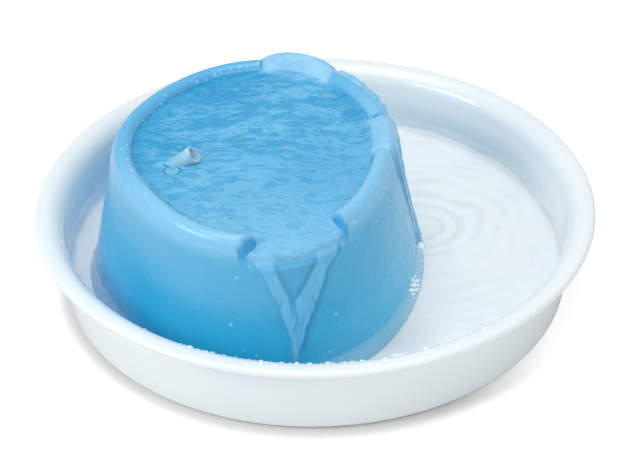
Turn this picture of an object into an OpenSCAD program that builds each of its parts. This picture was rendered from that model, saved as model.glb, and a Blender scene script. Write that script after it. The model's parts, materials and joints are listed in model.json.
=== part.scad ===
// Pet water fountain: a wide drinking bowl, an off-centre fountain dome with a basin on top,
// and a small submersible pump with its filter under the dome.
// Millimetres, +Z up. The origin is the middle of the bowl, on the table.

/* [Bowl] */
// Radius of the bowl at the outside of its lip
bowl_r = 150; // [147:0.5:160]
// Height of the lip's top above the table
bowl_h = 47.7; // [44:0.1:52]
// Thickness of the bowl's wall and floor
bowl_wall = 2.5; // [2:0.1:3]
// How far the lip stands out from the wall
lip_out = 12; // [10:0.5:14]
// Height of the lip's outer edge
lip_edge = 3; // [2.6:0.1:3.4]
// Radius of the roll from the wall's inner face into the lip
lip_roll = 7; // [5:0.5:8]
// How much the wall leans out for each millimetre of height
bowl_draft = 0.055; // [0.02:0.005:0.08]
// Outer radius of the corner between wall and floor
bowl_corner = 3.5; // [2.8:0.1:5]
// Height of the foot ring under the floor
ring_h = 1.2; // [0.8:0.1:1.8]
// Width of the foot ring
ring_w = 9; // [6:0.5:14]

/* [Bowl feet] */
// Number of soft pads under the bowl
pad_count = 4; // [3:1:6]
// Radius of one pad
pad_r = 8; // [6:0.5:10]
// How far the pads stand out below the foot ring
pad_proud = 0.8; // [0.5:0.1:1.2]
// Gap between a pad and the foot ring
pad_gap = 7; // [4:0.5:15]

/* [Dome] */
// Height of the rim's ridge above the table
rim_z = 91; // [87:0.5:96]
// Mean radius of the rim's ridge
rim_mean = 75; // [72:0.5:77]
// How much longer the rim is from front to back than from side to side
rim_stretch = 7.8; // [6:0.1:9]
// How much blunter the rim's left end is than its right side
rim_egg = 1.6; // [0:0.1:3]
// How far the egg shape is turned
rim_egg_turn = 1.2; // [0:0.1:1.5]
// How square the rim is
rim_square = 1.3; // [0:0.1:1.5]
// Radius of the round bead along the rim
bead_r = 5; // [4.4:0.1:5.6]
// Step from the bead out to the wall below it
bead_step = 0.6; // [0.3:0.1:1.2]
// How much the wall leans out for each millimetre down
dome_draft = 0.2; // [0.17:0.01:0.21]
// Thickness of the dome's shell
shell = 2.5; // [2:0.1:3]
// Depth of the basin's floor below the rim's ridge
basin_deep = 19; // [18:0.5:20]
// Gap between the dome's foot and the round corner of the bowl
foot_gap = 5; // [3:0.1:7]
// Direction from the bowl's middle in which the dome is set off, in degrees
dome_dir = 199; // [190:1:206]

/* [Spillways] */
// Depth of each spillway below the ridge
spill_deep = 12.2; // [9:0.1:12.4]
// Angle over which a spillway's rounded end rises
spill_ramp = 5; // [4:0.5:7]
// Middle and half width of the front spillway, in degrees
front_spill = [-75.8, 18]; // [-90:0.1:90]
// Middle and half width of the right spillway, in degrees
right_spill = [6.9, 15.2]; // [-90:0.1:90]
// Middle and half width of the back spillway, in degrees
back_spill = [73.6, 15.6]; // [-90:0.1:90]

/* [Arches in the dome's foot] */
// Height of a water inlet arch
inlet_h = 7; // [5:0.5:9]
// Half width of a water inlet arch, in degrees
inlet_half = 4.5; // [3:0.5:5]
// Height of the cord's arch
cord_arch_h = 10; // [8:0.5:12]
// Half width of the cord's arch, in degrees
cord_arch_half = 3.5; // [3:0.5:5]

/* [Nozzle] */
// Outer radius of the nozzle's tube and of the pump's outlet
tube_r = 4.5; // [4.3:0.1:4.8]
// Radius of the tube's bore
tube_bore = 3.2; // [2.8:0.1:3.4]
// Distance from the dome's middle to the nozzle's upright stub
nozzle_out = 47; // [42:0.5:48]
// Direction from the dome's middle to the stub, in degrees
nozzle_at = 194; // [190:0.5:200]
// Height of the stub's top above the basin's floor
stub_up = 6.8; // [6:0.1:9]
// How far the stub reaches down into the riser hose below the basin
stub_down = 10; // [6:0.5:12]
// Radius of the bend at the tube's middle line
bend_r = 6; // [5.5:0.5:8]
// Angle by which the mouth's end rises above level
mouth_tilt = 30; // [15:1:40]
// Direction of the mouth's end, in degrees from +X
mouth_turn = 8; // [-40:1:40]
// Length of the straight end, with its flare
mouth_len = 12.5; // [10:0.5:14]
// Length of the flare at the mouth
flare_len = 4; // [2:0.5:5]
// How much the mouth flares in radius
mouth_flare = 0.8; // [0:0.1:1.2]
// Running clearance around the turning stub and the pump's outlet
tube_fit = 0.05; // [0.02:0.01:0.1]

/* [Riser hose and grommet] */
// Wall of the riser hose
hose_wall = 2; // [1.6:0.1:2.5]
// Radius of the hole that the grommet sits in
grommet_hole_r = 7; // [6.4:0.1:8]
// Radius of the grommet's flanges
grommet_r = 9.5; // [8.5:0.1:10.5]
// Thickness of one flange
grommet_lip = 1.5; // [1:0.1:2]

/* [Pump body] */
// Width of the housing
pump_w = 36; // [34:0.5:38]
// Height of the housing
pump_h = 29; // [28:0.5:30]
// Radius of the housing's long edges
pump_edge = 4; // [2:0.5:5]
// Wall of the housing
pump_wall = 1.8; // [1.5:0.1:2]
// Floor under the wound coil
pump_floor = 3; // [2.5:0.1:3.5]
// Distance from the housing's front to the outlet's middle
outlet_back = 11; // [11:0.5:12]
// Height of the outlet spout above the housing
outlet_h = 8.7; // [8:0.1:9.5]
// How far the pump lifts before its shoulder meets the hose
pump_lift = 5; // [4:0.5:5]
// Radius of the impeller's chamber
chamber_r = 12; // [11.5:0.1:12.5]
// Depth of the impeller's chamber
chamber_deep = 16; // [15:0.5:17]

/* [Rotor] */
// Radius of the rotor's magnet
magnet_r = 6.9; // [6.5:0.1:7]
// Length of the magnet
magnet_len = 21; // [19:0.5:21.5]
// Gap around the magnet in its well
rotor_gap = 0.4; // [0.3:0.1:0.6]
// Radius of the ceramic shaft
shaft_r = 1; // [0.8:0.1:1.2]
// Running clearance between shaft and rotor
shaft_fit = 0.04; // [0.02:0.01:0.08]
// Radius of the impeller
impeller_r = 9.5; // [8.5:0.1:10.5]
// Number of blades
blade_count = 6; // [5:1:8]
// Thickness of a blade
blade_t = 1.2; // [1:0.1:1.5]
// Width of a blade along the shaft
blade_w = 7; // [6:0.5:8]

/* [Stator] */
// Thickness of a stator leg
leg_t = 5.5; // [4.5:0.1:5.6]
// Height of the laminated stack
stack_h = 12; // [10:0.5:13]
// Thickness of the stator's cross piece
yoke_t = 6; // [5:0.5:6]
// Depth of the winding on its bobbin
winding_t = 2.2; // [1.5:0.1:2.2]
// Wall of the bobbin
bobbin_wall = 0.8; // [0.6:0.1:0.9]

/* [Intake cover and dial] */
// Wall of the intake cover
cover_wall = 1.6; // [1.3:0.1:1.8]
// Gap between the intake cover and the housing
cover_fit = 0.3; // [0.2:0.05:0.4]
// How far the cover reaches back over the housing
cover_lap = 4; // [3:0.5:4]
// Height of solid wall above and below the cover's slots
slot_margin = 4; // [3.5:0.5:5]
// Thickness of the foam behind the cover's slots
foam_t = 3.4; // [2.5:0.1:3.6]
// Radius of the flow dial
dial_r = 9; // [8:0.5:9.5]
// Thickness of the flow dial
dial_t = 2; // [1.6:0.1:2.4]
// Radius of the dial's three flow holes
dial_hole_r = 2.2; // [1.6:0.1:2.4]

/* [Suction cups] */
// Radius of one cup
cup_r = 7; // [6:0.5:7.5]
// Height of a cup between the bowl's floor and the pump
cup_h = 3.8; // [3.4:0.1:4.2]

/* [Filter cartridge] */
// Width of the cartridge from front to back
filter_w = 96; // [84:1:98]
// Height of the cartridge
filter_h = 34; // [30:0.5:35]
// Thickness of the cartridge
filter_t = 15; // [13:0.5:16]
// Wall of the cartridge
filter_wall = 1.6; // [1.3:0.1:1.8]
// Thickness of the fleece
fleece_t = 3; // [2:0.5:3.5]
// Number of windows in each grille
window_count = 9; // [7:1:11]
// Height of the pull tab
tab_h = 4.5; // [4:0.5:5]
// Width of the pull tab
tab_w = 24; // [18:1:30]
// Thickness of the pull tab
tab_t = 3; // [2:0.5:4]
// Distance from the dome's middle to the cartridge's middle
filter_off = 26; // [25:0.5:28]
// Height of the guide channels on the bowl's floor
guide_h = 16; // [12:0.5:18]
// Wall of the guide channels
guide_wall = 2; // [1.6:0.1:2.4]
// Gap between the cartridge and its guides
guide_fit = 0.3; // [0.2:0.05:0.4]

/* [Hidden] */

eps = 0.01;
round_fn = 96;
small_fn = 48;

// Bowl: heights and radii that follow from the sizes above
floor_under = pad_proud + ring_h;
floor_z = floor_under + bowl_wall;
lip_under = bowl_h - lip_edge;
wall_top_r = bowl_r - lip_out;
inner_corner = bowl_corner - 0.5;
function bowl_out(z) = wall_top_r - (lip_under - z) * bowl_draft;
function bowl_in(z) = bowl_out(z) - bowl_wall;
floor_flat = bowl_in(floor_z + inner_corner) - inner_corner;
base_r = bowl_out(pad_proud) - bowl_corner;
pad_mid_r = base_r - ring_w - pad_gap - pad_r;

// Dome: the wall's offset from the ridge, and where the foot stands in the bowl
basin_z = rim_z - basin_deep;
basin_under = basin_z - shell;
basin_fillet = 1.3;
basin_edge = 3.5;
bead_z = rim_z - bead_r;
function wall_off(z) = bead_r + bead_step + (bead_z - z) * dome_draft;
foot_off = wall_off(floor_z);

stations = 120;
station_step = 360 / stations;
SPILLS = [front_spill, right_spill, back_spill];
INLETS = [60, 78, 96];
CORD_ARCH = 114;

// Ridge of the rim seen from above: its radius and slope at angle a about the dome's middle
function ridge(a) = rim_mean - rim_stretch * cos(2 * a) - rim_egg * cos(3 * a)
  + rim_egg_turn * sin(3 * a) + rim_square * cos(4 * a);
function ridge_slope(a) = 2 * rim_stretch * sin(2 * a) + 3 * rim_egg * sin(3 * a)
  + 3 * rim_egg_turn * cos(3 * a) - 4 * rim_square * sin(4 * a);
function ridge_run(a) = [
  ridge_slope(a) * cos(a) - ridge(a) * sin(a),
  ridge_slope(a) * sin(a) + ridge(a) * cos(a)
];
function ridge_out(a) = let (d = ridge_run(a)) [d[1], -d[0]] / norm(d);
// Point at angle a, moved out from the ridge by off
function rim_point(a, off) = [ridge(a) * cos(a), ridge(a) * sin(a)] + off * ridge_out(a);

// The dome is pushed along dome_dir until its foot is foot_gap short of the bowl's corner
set_dir = [cos(dome_dir), sin(dome_dir)];
foot_reach = floor_flat - foot_gap;
function room(p) = let (along = p * set_dir) -along + sqrt(along * along + foot_reach * foot_reach - p * p);
dome_shift = min([for (i = [0:stations - 1]) room(rim_point(i * station_step, foot_off))]);
dome_mid = dome_shift * set_dir;

// Nozzle and pump places
nozzle_mid = dome_mid + nozzle_out * [cos(nozzle_at), sin(nozzle_at)];
nx = nozzle_mid[0];
ny = nozzle_mid[1];
stub_top = basin_z + stub_up;
bend_step = 0.1;
bend_lap = 0.3;
grommet_bottom = basin_under - grommet_lip;
pump_z = floor_z + cup_h;
pump_top = pump_z + pump_h;
axis_z = pump_z + pump_h / 2;
pump_x = nx - outlet_back;
outlet_top = pump_top + outlet_h;
hose_bottom = pump_top + pump_lift + 0.2;
stub_bottom = basin_under - stub_down;
hose_r = tube_r + tube_fit + hose_wall;

// Inside the pump
well_r = magnet_r + rotor_gap;
well_x = pump_x + chamber_deep;
magnet_x = well_x + 1;
well_end = magnet_x + magnet_len + 1;
bush_len = 3;
well_back = well_end + bush_len + 1;
bush_r = shaft_r + 1.2;
bush_front = pump_x + 0.6;
bulkhead = 2;
cavity_x = well_x + bulkhead;
well_wall = 1.6;
leg_in = well_r + well_wall + 0.2;
bobbin_grow = 0.1 + bobbin_wall;
winding_grow = bobbin_grow + winding_t;
yoke_mid = well_back + 0.6 + winding_grow + yoke_t / 2;
back_x = yoke_mid + yoke_t / 2 + winding_grow + 0.8;
back_t = 2;
pump_end = back_x + back_t;
bobbin_half = leg_in - 0.7;
disc_t = 1.2;
impeller_gap = 5;
impeller_x = pump_x + impeller_gap;
disc_x = impeller_x + blade_w;
hub_r = 2.8;
gland_hole_r = 3.5;
gland_out = 11;

// Front of the pump
cover_plate_t = 2;
grip_t = 1.2;
plug_len = 3;
plug_fit = 0.06;
seal_r = 0.8;
foam_x = pump_x - cover_plate_t - grip_t - 1 - foam_t;
cover_x = foam_x - cover_wall;
cover_end = pump_x + cover_lap;
dial_gap = 0.1;
dial_ring = 5.4;
pin_r = 1.5;
pin_fit = 0.05;
cup_stud_r = 2.2;
cup_stud_h = 1.8;
CUPS = [
  for (x = [cover_end + cup_r + 0.8, pump_end - cup_r - 2], side = [-1, 1])
    [x, ny + side * (pump_w / 2 - cup_r)]
];

// Filter cartridge
filter_x = dome_mid[0] + filter_off;
filter_y = dome_mid[1];
filter_top = floor_z + filter_h;
filter_x0 = filter_x - filter_t / 2;
filter_x1 = filter_x + filter_t / 2;
cavity_y0 = filter_y - filter_w / 2 + filter_wall;
cavity_y1 = filter_y + filter_w / 2 - filter_wall;
fleece_x = filter_x1 - filter_wall - fleece_t;
guide_bite = 5;
window_pitch = (filter_w - 2 * filter_wall - 4) / window_count;
window_w = window_pitch - 2.4;
window_h = filter_h - 2 * filter_wall - 5;

// Points on an arc about [x, z], from angle a0 to a1
function arc(x, z, r, a0, a1, steps) = [
  for (i = [0:steps]) let (a = a0 + (a1 - a0) * i / steps) [x + r * cos(a), z + r * sin(a)]
];
function smooth(t) = t <= 0 ? 0 : t >= 1 ? 1 : t * t * (3 - 2 * t);
function turn(a) = a - 360 * floor((a + 180) / 360);

// How far a spillway is open at angle a, from 0 to 1
function spill(a) = max([for (s = SPILLS) smooth((s[1] - abs(turn(a - s[0]))) / spill_ramp)]);
function within(a, middle, half) = abs(turn(a - middle)) < half ? 1 : 0;
// Height of the foot's lower edge at angle a
function foot_z(a) = floor_z + max([
  cord_arch_h * within(a, CORD_ARCH, cord_arch_half),
  for (m = INLETS) inlet_h * within(a, m, inlet_half)
]);

// Section of the dome at angle a: up the outside, over the bead, into the basin, back underneath
function dome_section(a) =
  let (
    drop = spill_deep * spill(a),
    bz = bead_z - drop,
    bo = drop * dome_draft,
    foot = foot_z(a),
    under = bead_r - shell
  )
  concat(
    [[wall_off(foot), foot], [wall_off(bz - 1.5), bz - 1.5]],
    arc(bo, bz, bead_r, 0, 180, 6),
    [[-bead_r - 1.6, basin_z + basin_fillet], [-bead_r - basin_edge, basin_z]],
    [[-bead_r - 1, basin_under]],
    arc(bo, bz, under, 180, 0, 4),
    [[wall_off(bz - 2) - shell, bz - 2], [wall_off(foot) - shell, foot]]
  );
section_size = len(dome_section(0));
// Index in the section of the basin floor's edge, above and underneath
floor_ring = 10;
under_ring = 11;

// A bar along X with rounded long edges, whose section is w by h
module bar_x(len, w, h, r) {
  rotate([90, 0, 90])
    linear_extrude(len)
      union() {
        translate([-w / 2 + r, -h / 2]) square([w - 2 * r, h]);
        translate([-w / 2, -h / 2 + r]) square([w, h - 2 * r]);
        for (sx = [-1, 1], sz = [-1, 1])
          translate([sx * (w / 2 - r), sz * (h / 2 - r)]) circle(r = r, $fn = small_fn);
      }
}

// A round bar along X that starts at x, on the pump's axis
module rod_x(x, len, r, fn = small_fn) {
  translate([x, ny, axis_z]) rotate([0, 90, 0]) cylinder(r = r, h = len, $fn = fn);
}

// A block between two corners
module block(a, b) {
  translate(a) cube(b - a);
}

// A row of n windows along Y, cut through from x0 to x1
module windows(x0, x1) {
  z0 = floor_z + filter_h / 2 - window_h / 2;
  for (i = [0:window_count - 1]) {
    y = filter_y + (i - (window_count - 1) / 2) * window_pitch;
    block([x0, y - window_w / 2, z0], [x1, y + window_w / 2, z0 + window_h]);
  }
}

// ---- Bowl ----
module bowl_shell() {
  roll_z = bowl_h - lip_roll;
  roll_r = bowl_in(roll_z) + lip_roll;
  rotate_extrude($fn = 180)
    polygon(concat(
      [[0, floor_under], [base_r - ring_w, floor_under], [base_r - ring_w + ring_h, pad_proud]],
      arc(base_r, pad_proud + bowl_corner, bowl_corner, -90, 0, 6),
      arc(roll_r, roll_z, lip_roll - bowl_wall, 180, 90, 6),
      [[bowl_r - 0.6, lip_under]],
      arc(bowl_r - lip_edge + 0.4, lip_under + 0.4, lip_edge - 0.4, 0, 90, 6),
      arc(roll_r, roll_z, lip_roll, 90, 180, 8),
      arc(floor_flat, floor_z + inner_corner, inner_corner, 0, -90, 5),
      [[0, floor_z]]
    ));
}

module filter_guide(side) {
  end_y = filter_y + side * filter_w / 2;
  half_x = filter_t / 2 + guide_fit;
  near = end_y - side * guide_bite;
  far = end_y + side * (guide_fit + guide_wall);
  difference() {
    block(
      [filter_x - half_x - guide_wall, min(near, far), floor_z - 0.5],
      [filter_x + half_x + guide_wall, max(near, far), floor_z + guide_h]
    );
    block(
      [filter_x - half_x, min(near - side, end_y + side * guide_fit), floor_z - 1],
      [filter_x + half_x, max(near - side, end_y + side * guide_fit), floor_z + guide_h + 1]
    );
  }
}

module bowl() {
  color("#f2f6f7")
    union() {
      bowl_shell();
      filter_guide(1);
      filter_guide(-1);
    }
}

module bowl_feet() {
  color("#c9cdd0")
    for (i = [0:pad_count - 1])
      rotate([0, 0, 45 + i * 360 / pad_count])
        translate([pad_mid_r, 0, 0]) cylinder(r = pad_r, h = floor_under, $fn = small_fn);
}

// ---- Dome ----
module dome_shell() {
  points = [
    for (i = [0:stations - 1])
      let (a = i * station_step)
        for (s = dome_section(a)) let (p = rim_point(a, s[0])) [p[0], p[1], s[1]]
  ];
  strips = [for (j = [0:section_size - 1]) if (j != floor_ring) j];
  faces = concat(
    [
      for (i = [0:stations - 1], j = strips)
        let (
          m = section_size,
          k = (i + 1) % stations,
          n = (j + 1) % m
        )
          each [
            [i * m + j, i * m + n, k * m + n],
            [i * m + j, k * m + n, k * m + j]
          ]
    ],
    [[for (i = [stations - 1:-1:0]) i * section_size + floor_ring]],
    [[for (i = [0:stations - 1]) i * section_size + under_ring]]
  );
  translate([dome_mid[0], dome_mid[1], 0]) polyhedron(points = points, faces = faces, convexity = 10);
}

module fountain_dome() {
  color("#4fabdf")
    difference() {
      dome_shell();
      translate([nx, ny, basin_under - 1]) cylinder(r = grommet_hole_r, h = shell + 2, $fn = small_fn);
    }
}

module nozzle_grommet() {
  color("#8fb9cf")
    translate([nx, ny, 0])
      difference() {
        union() {
          translate([0, 0, grommet_bottom]) cylinder(r = grommet_r, h = grommet_lip, $fn = small_fn);
          translate([0, 0, grommet_bottom]) cylinder(
            r = grommet_hole_r, h = shell + 2 * grommet_lip, $fn = small_fn
          );
          translate([0, 0, basin_z]) cylinder(r = grommet_r, h = grommet_lip, $fn = small_fn);
        }
        translate([0, 0, grommet_bottom - 1])
          cylinder(r = tube_r + tube_fit, h = shell + 2 * grommet_lip + 2, $fn = small_fn);
      }
}

module riser_hose() {
  len = grommet_bottom - hose_bottom;
  color("#dfe6e6")
    translate([nx, ny, hose_bottom])
      difference() {
        cylinder(r = hose_r, h = len, $fn = small_fn);
        translate([0, 0, -1]) cylinder(r = tube_r + tube_fit, h = len + 2, $fn = small_fn);
      }
}

// The nozzle's bend, thinner by bend_step than the straight ends that lap over it
module tube_bend(angle) {
  rotate_extrude(angle = angle, $fn = round_fn)
    translate([bend_r, 0])
      difference() {
        circle(r = tube_r - bend_step, $fn = small_fn);
        circle(r = tube_bore - bend_step, $fn = small_fn);
      }
}

// A straight length of tube along +Z, whose far end has its radii larger by flare
module tube_length(len, flare) {
  difference() {
    cylinder(r1 = tube_r, r2 = tube_r + flare, h = len, $fn = small_fn);
    cylinder(r1 = tube_bore, r2 = tube_bore + flare, h = len, $fn = small_fn);
  }
}

module nozzle() {
  bend = 90 - mouth_tilt;
  color("#e3e2da")
    translate([nx, ny, 0])
      rotate([0, 0, mouth_turn])
        union() {
          translate([0, 0, stub_bottom]) tube_length(stub_top - stub_bottom + bend_lap, 0);
          translate([bend_r, 0, stub_top]) rotate([90, 0, 0]) rotate([0, 0, 180 - bend]) tube_bend(bend);
          translate([bend_r - bend_r * cos(bend), 0, stub_top + bend_r * sin(bend)])
            rotate([0, bend, 0]) {
              translate([0, 0, -bend_lap]) tube_length(mouth_len - flare_len + bend_lap, 0);
              translate([0, 0, mouth_len - flare_len]) tube_length(flare_len, mouth_flare);
            }
        }
}

// ---- Pump ----
module pump_housing() {
  color("#2b2f33")
    difference() {
      union() {
        translate([pump_x, ny, axis_z]) bar_x(pump_end - pump_x, pump_w, pump_h, pump_edge);
        translate([nx, ny, pump_top - 1]) cylinder(r = tube_r, h = outlet_h + 1, $fn = small_fn);
      }
      rod_x(pump_x - 1, chamber_deep + 1, chamber_r, round_fn);
      rod_x(well_x - 1, well_end - well_x + 1, well_r, round_fn);
      rod_x(well_end - 1, bush_len + 1, bush_r, small_fn);
      translate([nx, ny, axis_z + chamber_r - 2])
        cylinder(r = tube_bore, h = outlet_top - axis_z - chamber_r + 3, $fn = small_fn);
      difference() {
        block(
          [cavity_x, ny - pump_w / 2 + pump_wall, pump_z + pump_floor],
          [pump_end + 1, ny + pump_w / 2 - pump_wall, pump_top - pump_wall]
        );
        rod_x(well_x - 1, well_back + 1 - well_x, well_r + well_wall, round_fn);
      }
      for (p = CUPS)
        translate([p[0], p[1], pump_z - 1]) cylinder(r = cup_stud_r, h = 1 + cup_stud_h, $fn = small_fn);
    }
}

module suction_cups() {
  color("#3c4146")
    for (p = CUPS)
      translate([p[0], p[1], floor_z])
        rotate_extrude($fn = small_fn)
          polygon([
            [0, 1.4], [2.6, 1.2], [cup_r - 0.6, 0], [cup_r, 0], [cup_r - 0.4, 0.9],
            [3.4, 2.6], [3.4, cup_h], [cup_stud_r, cup_h], [cup_stud_r, cup_h + cup_stud_h],
            [0, cup_h + cup_stud_h]
          ]);
}

module pump_back() {
  color("#34393e")
    difference() {
      block(
        [back_x, ny - pump_w / 2 + pump_wall, pump_z + pump_floor],
        [pump_end, ny + pump_w / 2 - pump_wall, pump_top - pump_wall]
      );
      rod_x(back_x - 1, back_t + 2, gland_hole_r);
    }
}

module cord_gland() {
  color("#1f2225")
    difference() {
      union() {
        rod_x(back_x, back_t + 1, gland_hole_r);
        rod_x(pump_end, 1.5, gland_hole_r + 2);
        translate([pump_end, ny, axis_z])
          rotate([0, 90, 0]) cylinder(r1 = gland_hole_r + 0.8, r2 = gland_hole_r - 0.2, h = gland_out, $fn = small_fn);
      }
      rod_x(pump_end + 1, gland_out, gland_hole_r - 1);
    }
}

module stator_shape(grow) {
  z0 = axis_z - stack_h / 2 - grow;
  z1 = axis_z + stack_h / 2 + grow;
  yoke_x1 = yoke_mid + yoke_t / 2 + grow;
  for (side = [-1, 1])
    block(
      [cavity_x + 1 - grow, ny + (side > 0 ? leg_in - grow : -leg_in - leg_t - grow), z0],
      [yoke_x1, ny + (side > 0 ? leg_in + leg_t + grow : -leg_in + grow), z1]
    );
  block(
    [yoke_mid - yoke_t / 2 - grow, ny - leg_in - leg_t, z0],
    [yoke_x1, ny + leg_in + leg_t, z1]
  );
}

module stator_core() {
  color("#8d9298") union() stator_shape(0);
}

// A block around the stator's cross piece that stands out by grow, from y0 to y1
module around_yoke(grow, y0, y1) {
  block(
    [yoke_mid - yoke_t / 2 - grow, ny + y0, axis_z - stack_h / 2 - grow],
    [yoke_mid + yoke_t / 2 + grow, ny + y1, axis_z + stack_h / 2 + grow]
  );
}

module coil_bobbin() {
  color("#d9d4c4")
    difference() {
      union() {
        around_yoke(bobbin_grow, -bobbin_half, bobbin_half);
        around_yoke(winding_grow, -bobbin_half, -bobbin_half + 1);
        around_yoke(winding_grow, bobbin_half - 1, bobbin_half);
      }
      around_yoke(0.1, -bobbin_half - 1, bobbin_half + 1);
    }
}

module coil_winding() {
  color("#b5642c")
    difference() {
      around_yoke(winding_grow - 0.2, -bobbin_half + 1, bobbin_half - 1);
      around_yoke(bobbin_grow, -bobbin_half - 1, bobbin_half + 1);
    }
}

module potting() {
  color("#22262b")
    difference() {
      block(
        [cavity_x, ny - pump_w / 2 + pump_wall, pump_z + pump_floor],
        [back_x, ny + pump_w / 2 - pump_wall, pump_top - pump_wall]
      );
      rod_x(well_x - 1, well_back + 1 - well_x, well_r + well_wall, round_fn);
      stator_shape(0);
      around_yoke(winding_grow, -bobbin_half, bobbin_half);
    }
}

module rear_bush() {
  color("#4a4f55")
    difference() {
      rod_x(well_end, bush_len, bush_r);
      rod_x(well_end - 1, bush_len, shaft_r);
    }
}

module rotor_shaft() {
  color("#eceae2") rod_x(bush_front + 1, well_end + bush_len - 1 - bush_front - 1, shaft_r);
}

module rotor_magnet() {
  color("#33363a")
    difference() {
      rod_x(magnet_x, magnet_len, magnet_r, round_fn);
      rod_x(magnet_x - 1, magnet_len + 2, shaft_r + shaft_fit);
    }
}

module impeller() {
  color("#dfe4e6")
    difference() {
      union() {
        rod_x(disc_x, disc_t, impeller_r, round_fn);
        rod_x(impeller_x, blade_w + disc_t, hub_r);
        rod_x(disc_x + disc_t - eps, magnet_x - disc_x - disc_t + eps, hub_r + 1.2);
        for (i = [0:blade_count - 1])
          translate([impeller_x, ny, axis_z])
            rotate([i * 360 / blade_count, 0, 0])
              translate([0, -blade_t / 2, 0]) cube([blade_w + disc_t / 2, blade_t, impeller_r - 0.3]);
      }
      rod_x(impeller_x - 1, blade_w + disc_t + magnet_x + 2 - disc_x, shaft_r + shaft_fit);
    }
}

module chamber_cover() {
  flange_r = min(chamber_r + 1.6, pump_h / 2 - 0.6);
  plug_r = chamber_r - plug_fit;
  color("#3a4046")
    difference() {
      union() {
        rod_x(pump_x - cover_plate_t, cover_plate_t, flange_r, round_fn);
        difference() {
          rod_x(pump_x - eps, plug_len + eps, plug_r, round_fn);
          rod_x(pump_x + eps, plug_len + 1, plug_r - 2.2, round_fn);
          difference() {
            rod_x(pump_x + plug_len / 2 - seal_r - 0.05, 2 * seal_r + 0.1, plug_r + 1, round_fn);
            rod_x(pump_x, plug_len, plug_r - 2 * seal_r, round_fn);
          }
        }
        rod_x(pump_x - eps, bush_front - pump_x + bush_len + eps, bush_r + 1.4);
        for (side = [-1, 1])
          block(
            [pump_x - cover_plate_t - grip_t, ny + side * (chamber_r - 2) - 0.8, axis_z - 3],
            [pump_x - cover_plate_t + eps, ny + side * (chamber_r - 2) + 0.8, axis_z + 3]
          );
      }
      rod_x(bush_front, bush_len + 1, bush_r);
      for (i = [0:5])
        translate([pump_x - cover_plate_t - 1, ny, axis_z])
          rotate([i * 60, 0, 0])
            translate([0, 0, (chamber_r + bush_r) / 2 - 0.6])
              rotate([0, 90, 0]) cylinder(r = 1.7, h = cover_plate_t + 2, $fn = small_fn);
    }
}

module chamber_seal() {
  ring_r = chamber_r - plug_fit - seal_r + 0.02;
  color("#15171a")
    translate([pump_x + plug_len / 2, ny, axis_z])
      rotate([0, 90, 0])
        rotate_extrude($fn = round_fn) translate([ring_r, 0]) circle(r = seal_r, $fn = 24);
}

module front_bush() {
  color("#4a4f55")
    difference() {
      rod_x(bush_front, bush_len, bush_r);
      rod_x(bush_front + 1, bush_len, shaft_r + shaft_fit);
    }
}

module intake_cover() {
  inner_w = pump_w + 2 * cover_fit;
  inner_h = pump_h + 2 * cover_fit;
  slot_h = pump_h - 2 * slot_margin;
  color("#30353a")
    difference() {
      union() {
        translate([cover_x, ny, axis_z])
          bar_x(cover_end - cover_x, inner_w + 2 * cover_wall, inner_h + 2 * cover_wall, pump_edge + cover_wall);
        rod_x(cover_x - dial_t - 2 * dial_gap - 0.8, dial_t + 2 * dial_gap + 0.8 + eps, pin_r);
        rod_x(cover_x - dial_t - 2 * dial_gap - 0.8, 0.8, pin_r + 0.5);
      }
      translate([foam_x, ny, axis_z]) bar_x(cover_end - foam_x + 1, inner_w, inner_h, pump_edge);
      for (i = [0:2])
        translate([cover_x - 1, ny, axis_z])
          rotate([i * 120, 0, 0])
            translate([0, 0, dial_ring]) rotate([0, 90, 0]) cylinder(r = dial_hole_r, h = cover_wall + 2, $fn = small_fn);
      for (side = [-1, 1], i = [0:2]) {
        y = ny + side * (dial_r + 2.2 + 2.6 * i);
        block([cover_x - 1, y - 0.8, axis_z - slot_h / 2], [foam_x + 1, y + 0.8, axis_z + slot_h / 2]);
      }
    }
}

module intake_foam() {
  color("#454b50")
    translate([foam_x, ny, axis_z]) bar_x(foam_t, pump_w, pump_h, pump_edge);
}

module flow_dial() {
  x = cover_x - dial_gap - dial_t;
  color("#9fb4bf")
    difference() {
      union() {
        rod_x(x, dial_t, dial_r, round_fn);
        block([x - 1, ny - 0.9, axis_z + dial_r - 3.5], [x + dial_t, ny + 0.9, axis_z + dial_r + 1.5]);
      }
      rod_x(x - 2, dial_t + 4, pin_r + pin_fit);
      for (i = [0:2])
        translate([x - 1, ny, axis_z])
          rotate([i * 120, 0, 0])
            translate([0, 0, dial_ring]) rotate([0, 90, 0]) cylinder(r = dial_hole_r, h = dial_t + 2, $fn = small_fn);
    }
}

// ---- Filter cartridge ----
module filter_frame() {
  color("#e8ecee")
    difference() {
      union() {
        block(
          [filter_x0, filter_y - filter_w / 2, floor_z],
          [filter_x1, filter_y + filter_w / 2, filter_top]
        );
        block(
          [filter_x - tab_t / 2, filter_y - tab_w / 2, filter_top - eps],
          [filter_x + tab_t / 2, filter_y + tab_w / 2, filter_top + tab_h]
        );
      }
      block(
        [filter_x0 + filter_wall, cavity_y0, floor_z + filter_wall],
        [filter_x1 + 1, cavity_y1, filter_top - filter_wall]
      );
      windows(filter_x0 - 1, filter_x0 + filter_wall + 1);
    }
}

module filter_grille() {
  color("#d6dde0")
    difference() {
      block(
        [filter_x1 - filter_wall, cavity_y0, floor_z + filter_wall],
        [filter_x1, cavity_y1, filter_top - filter_wall]
      );
      windows(filter_x1 - filter_wall - 1, filter_x1 + 1);
    }
}

module filter_fleece() {
  color("#f4f4ee")
    block(
      [fleece_x, cavity_y0, floor_z + filter_wall],
      [fleece_x + fleece_t, cavity_y1, filter_top - filter_wall]
    );
}

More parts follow.
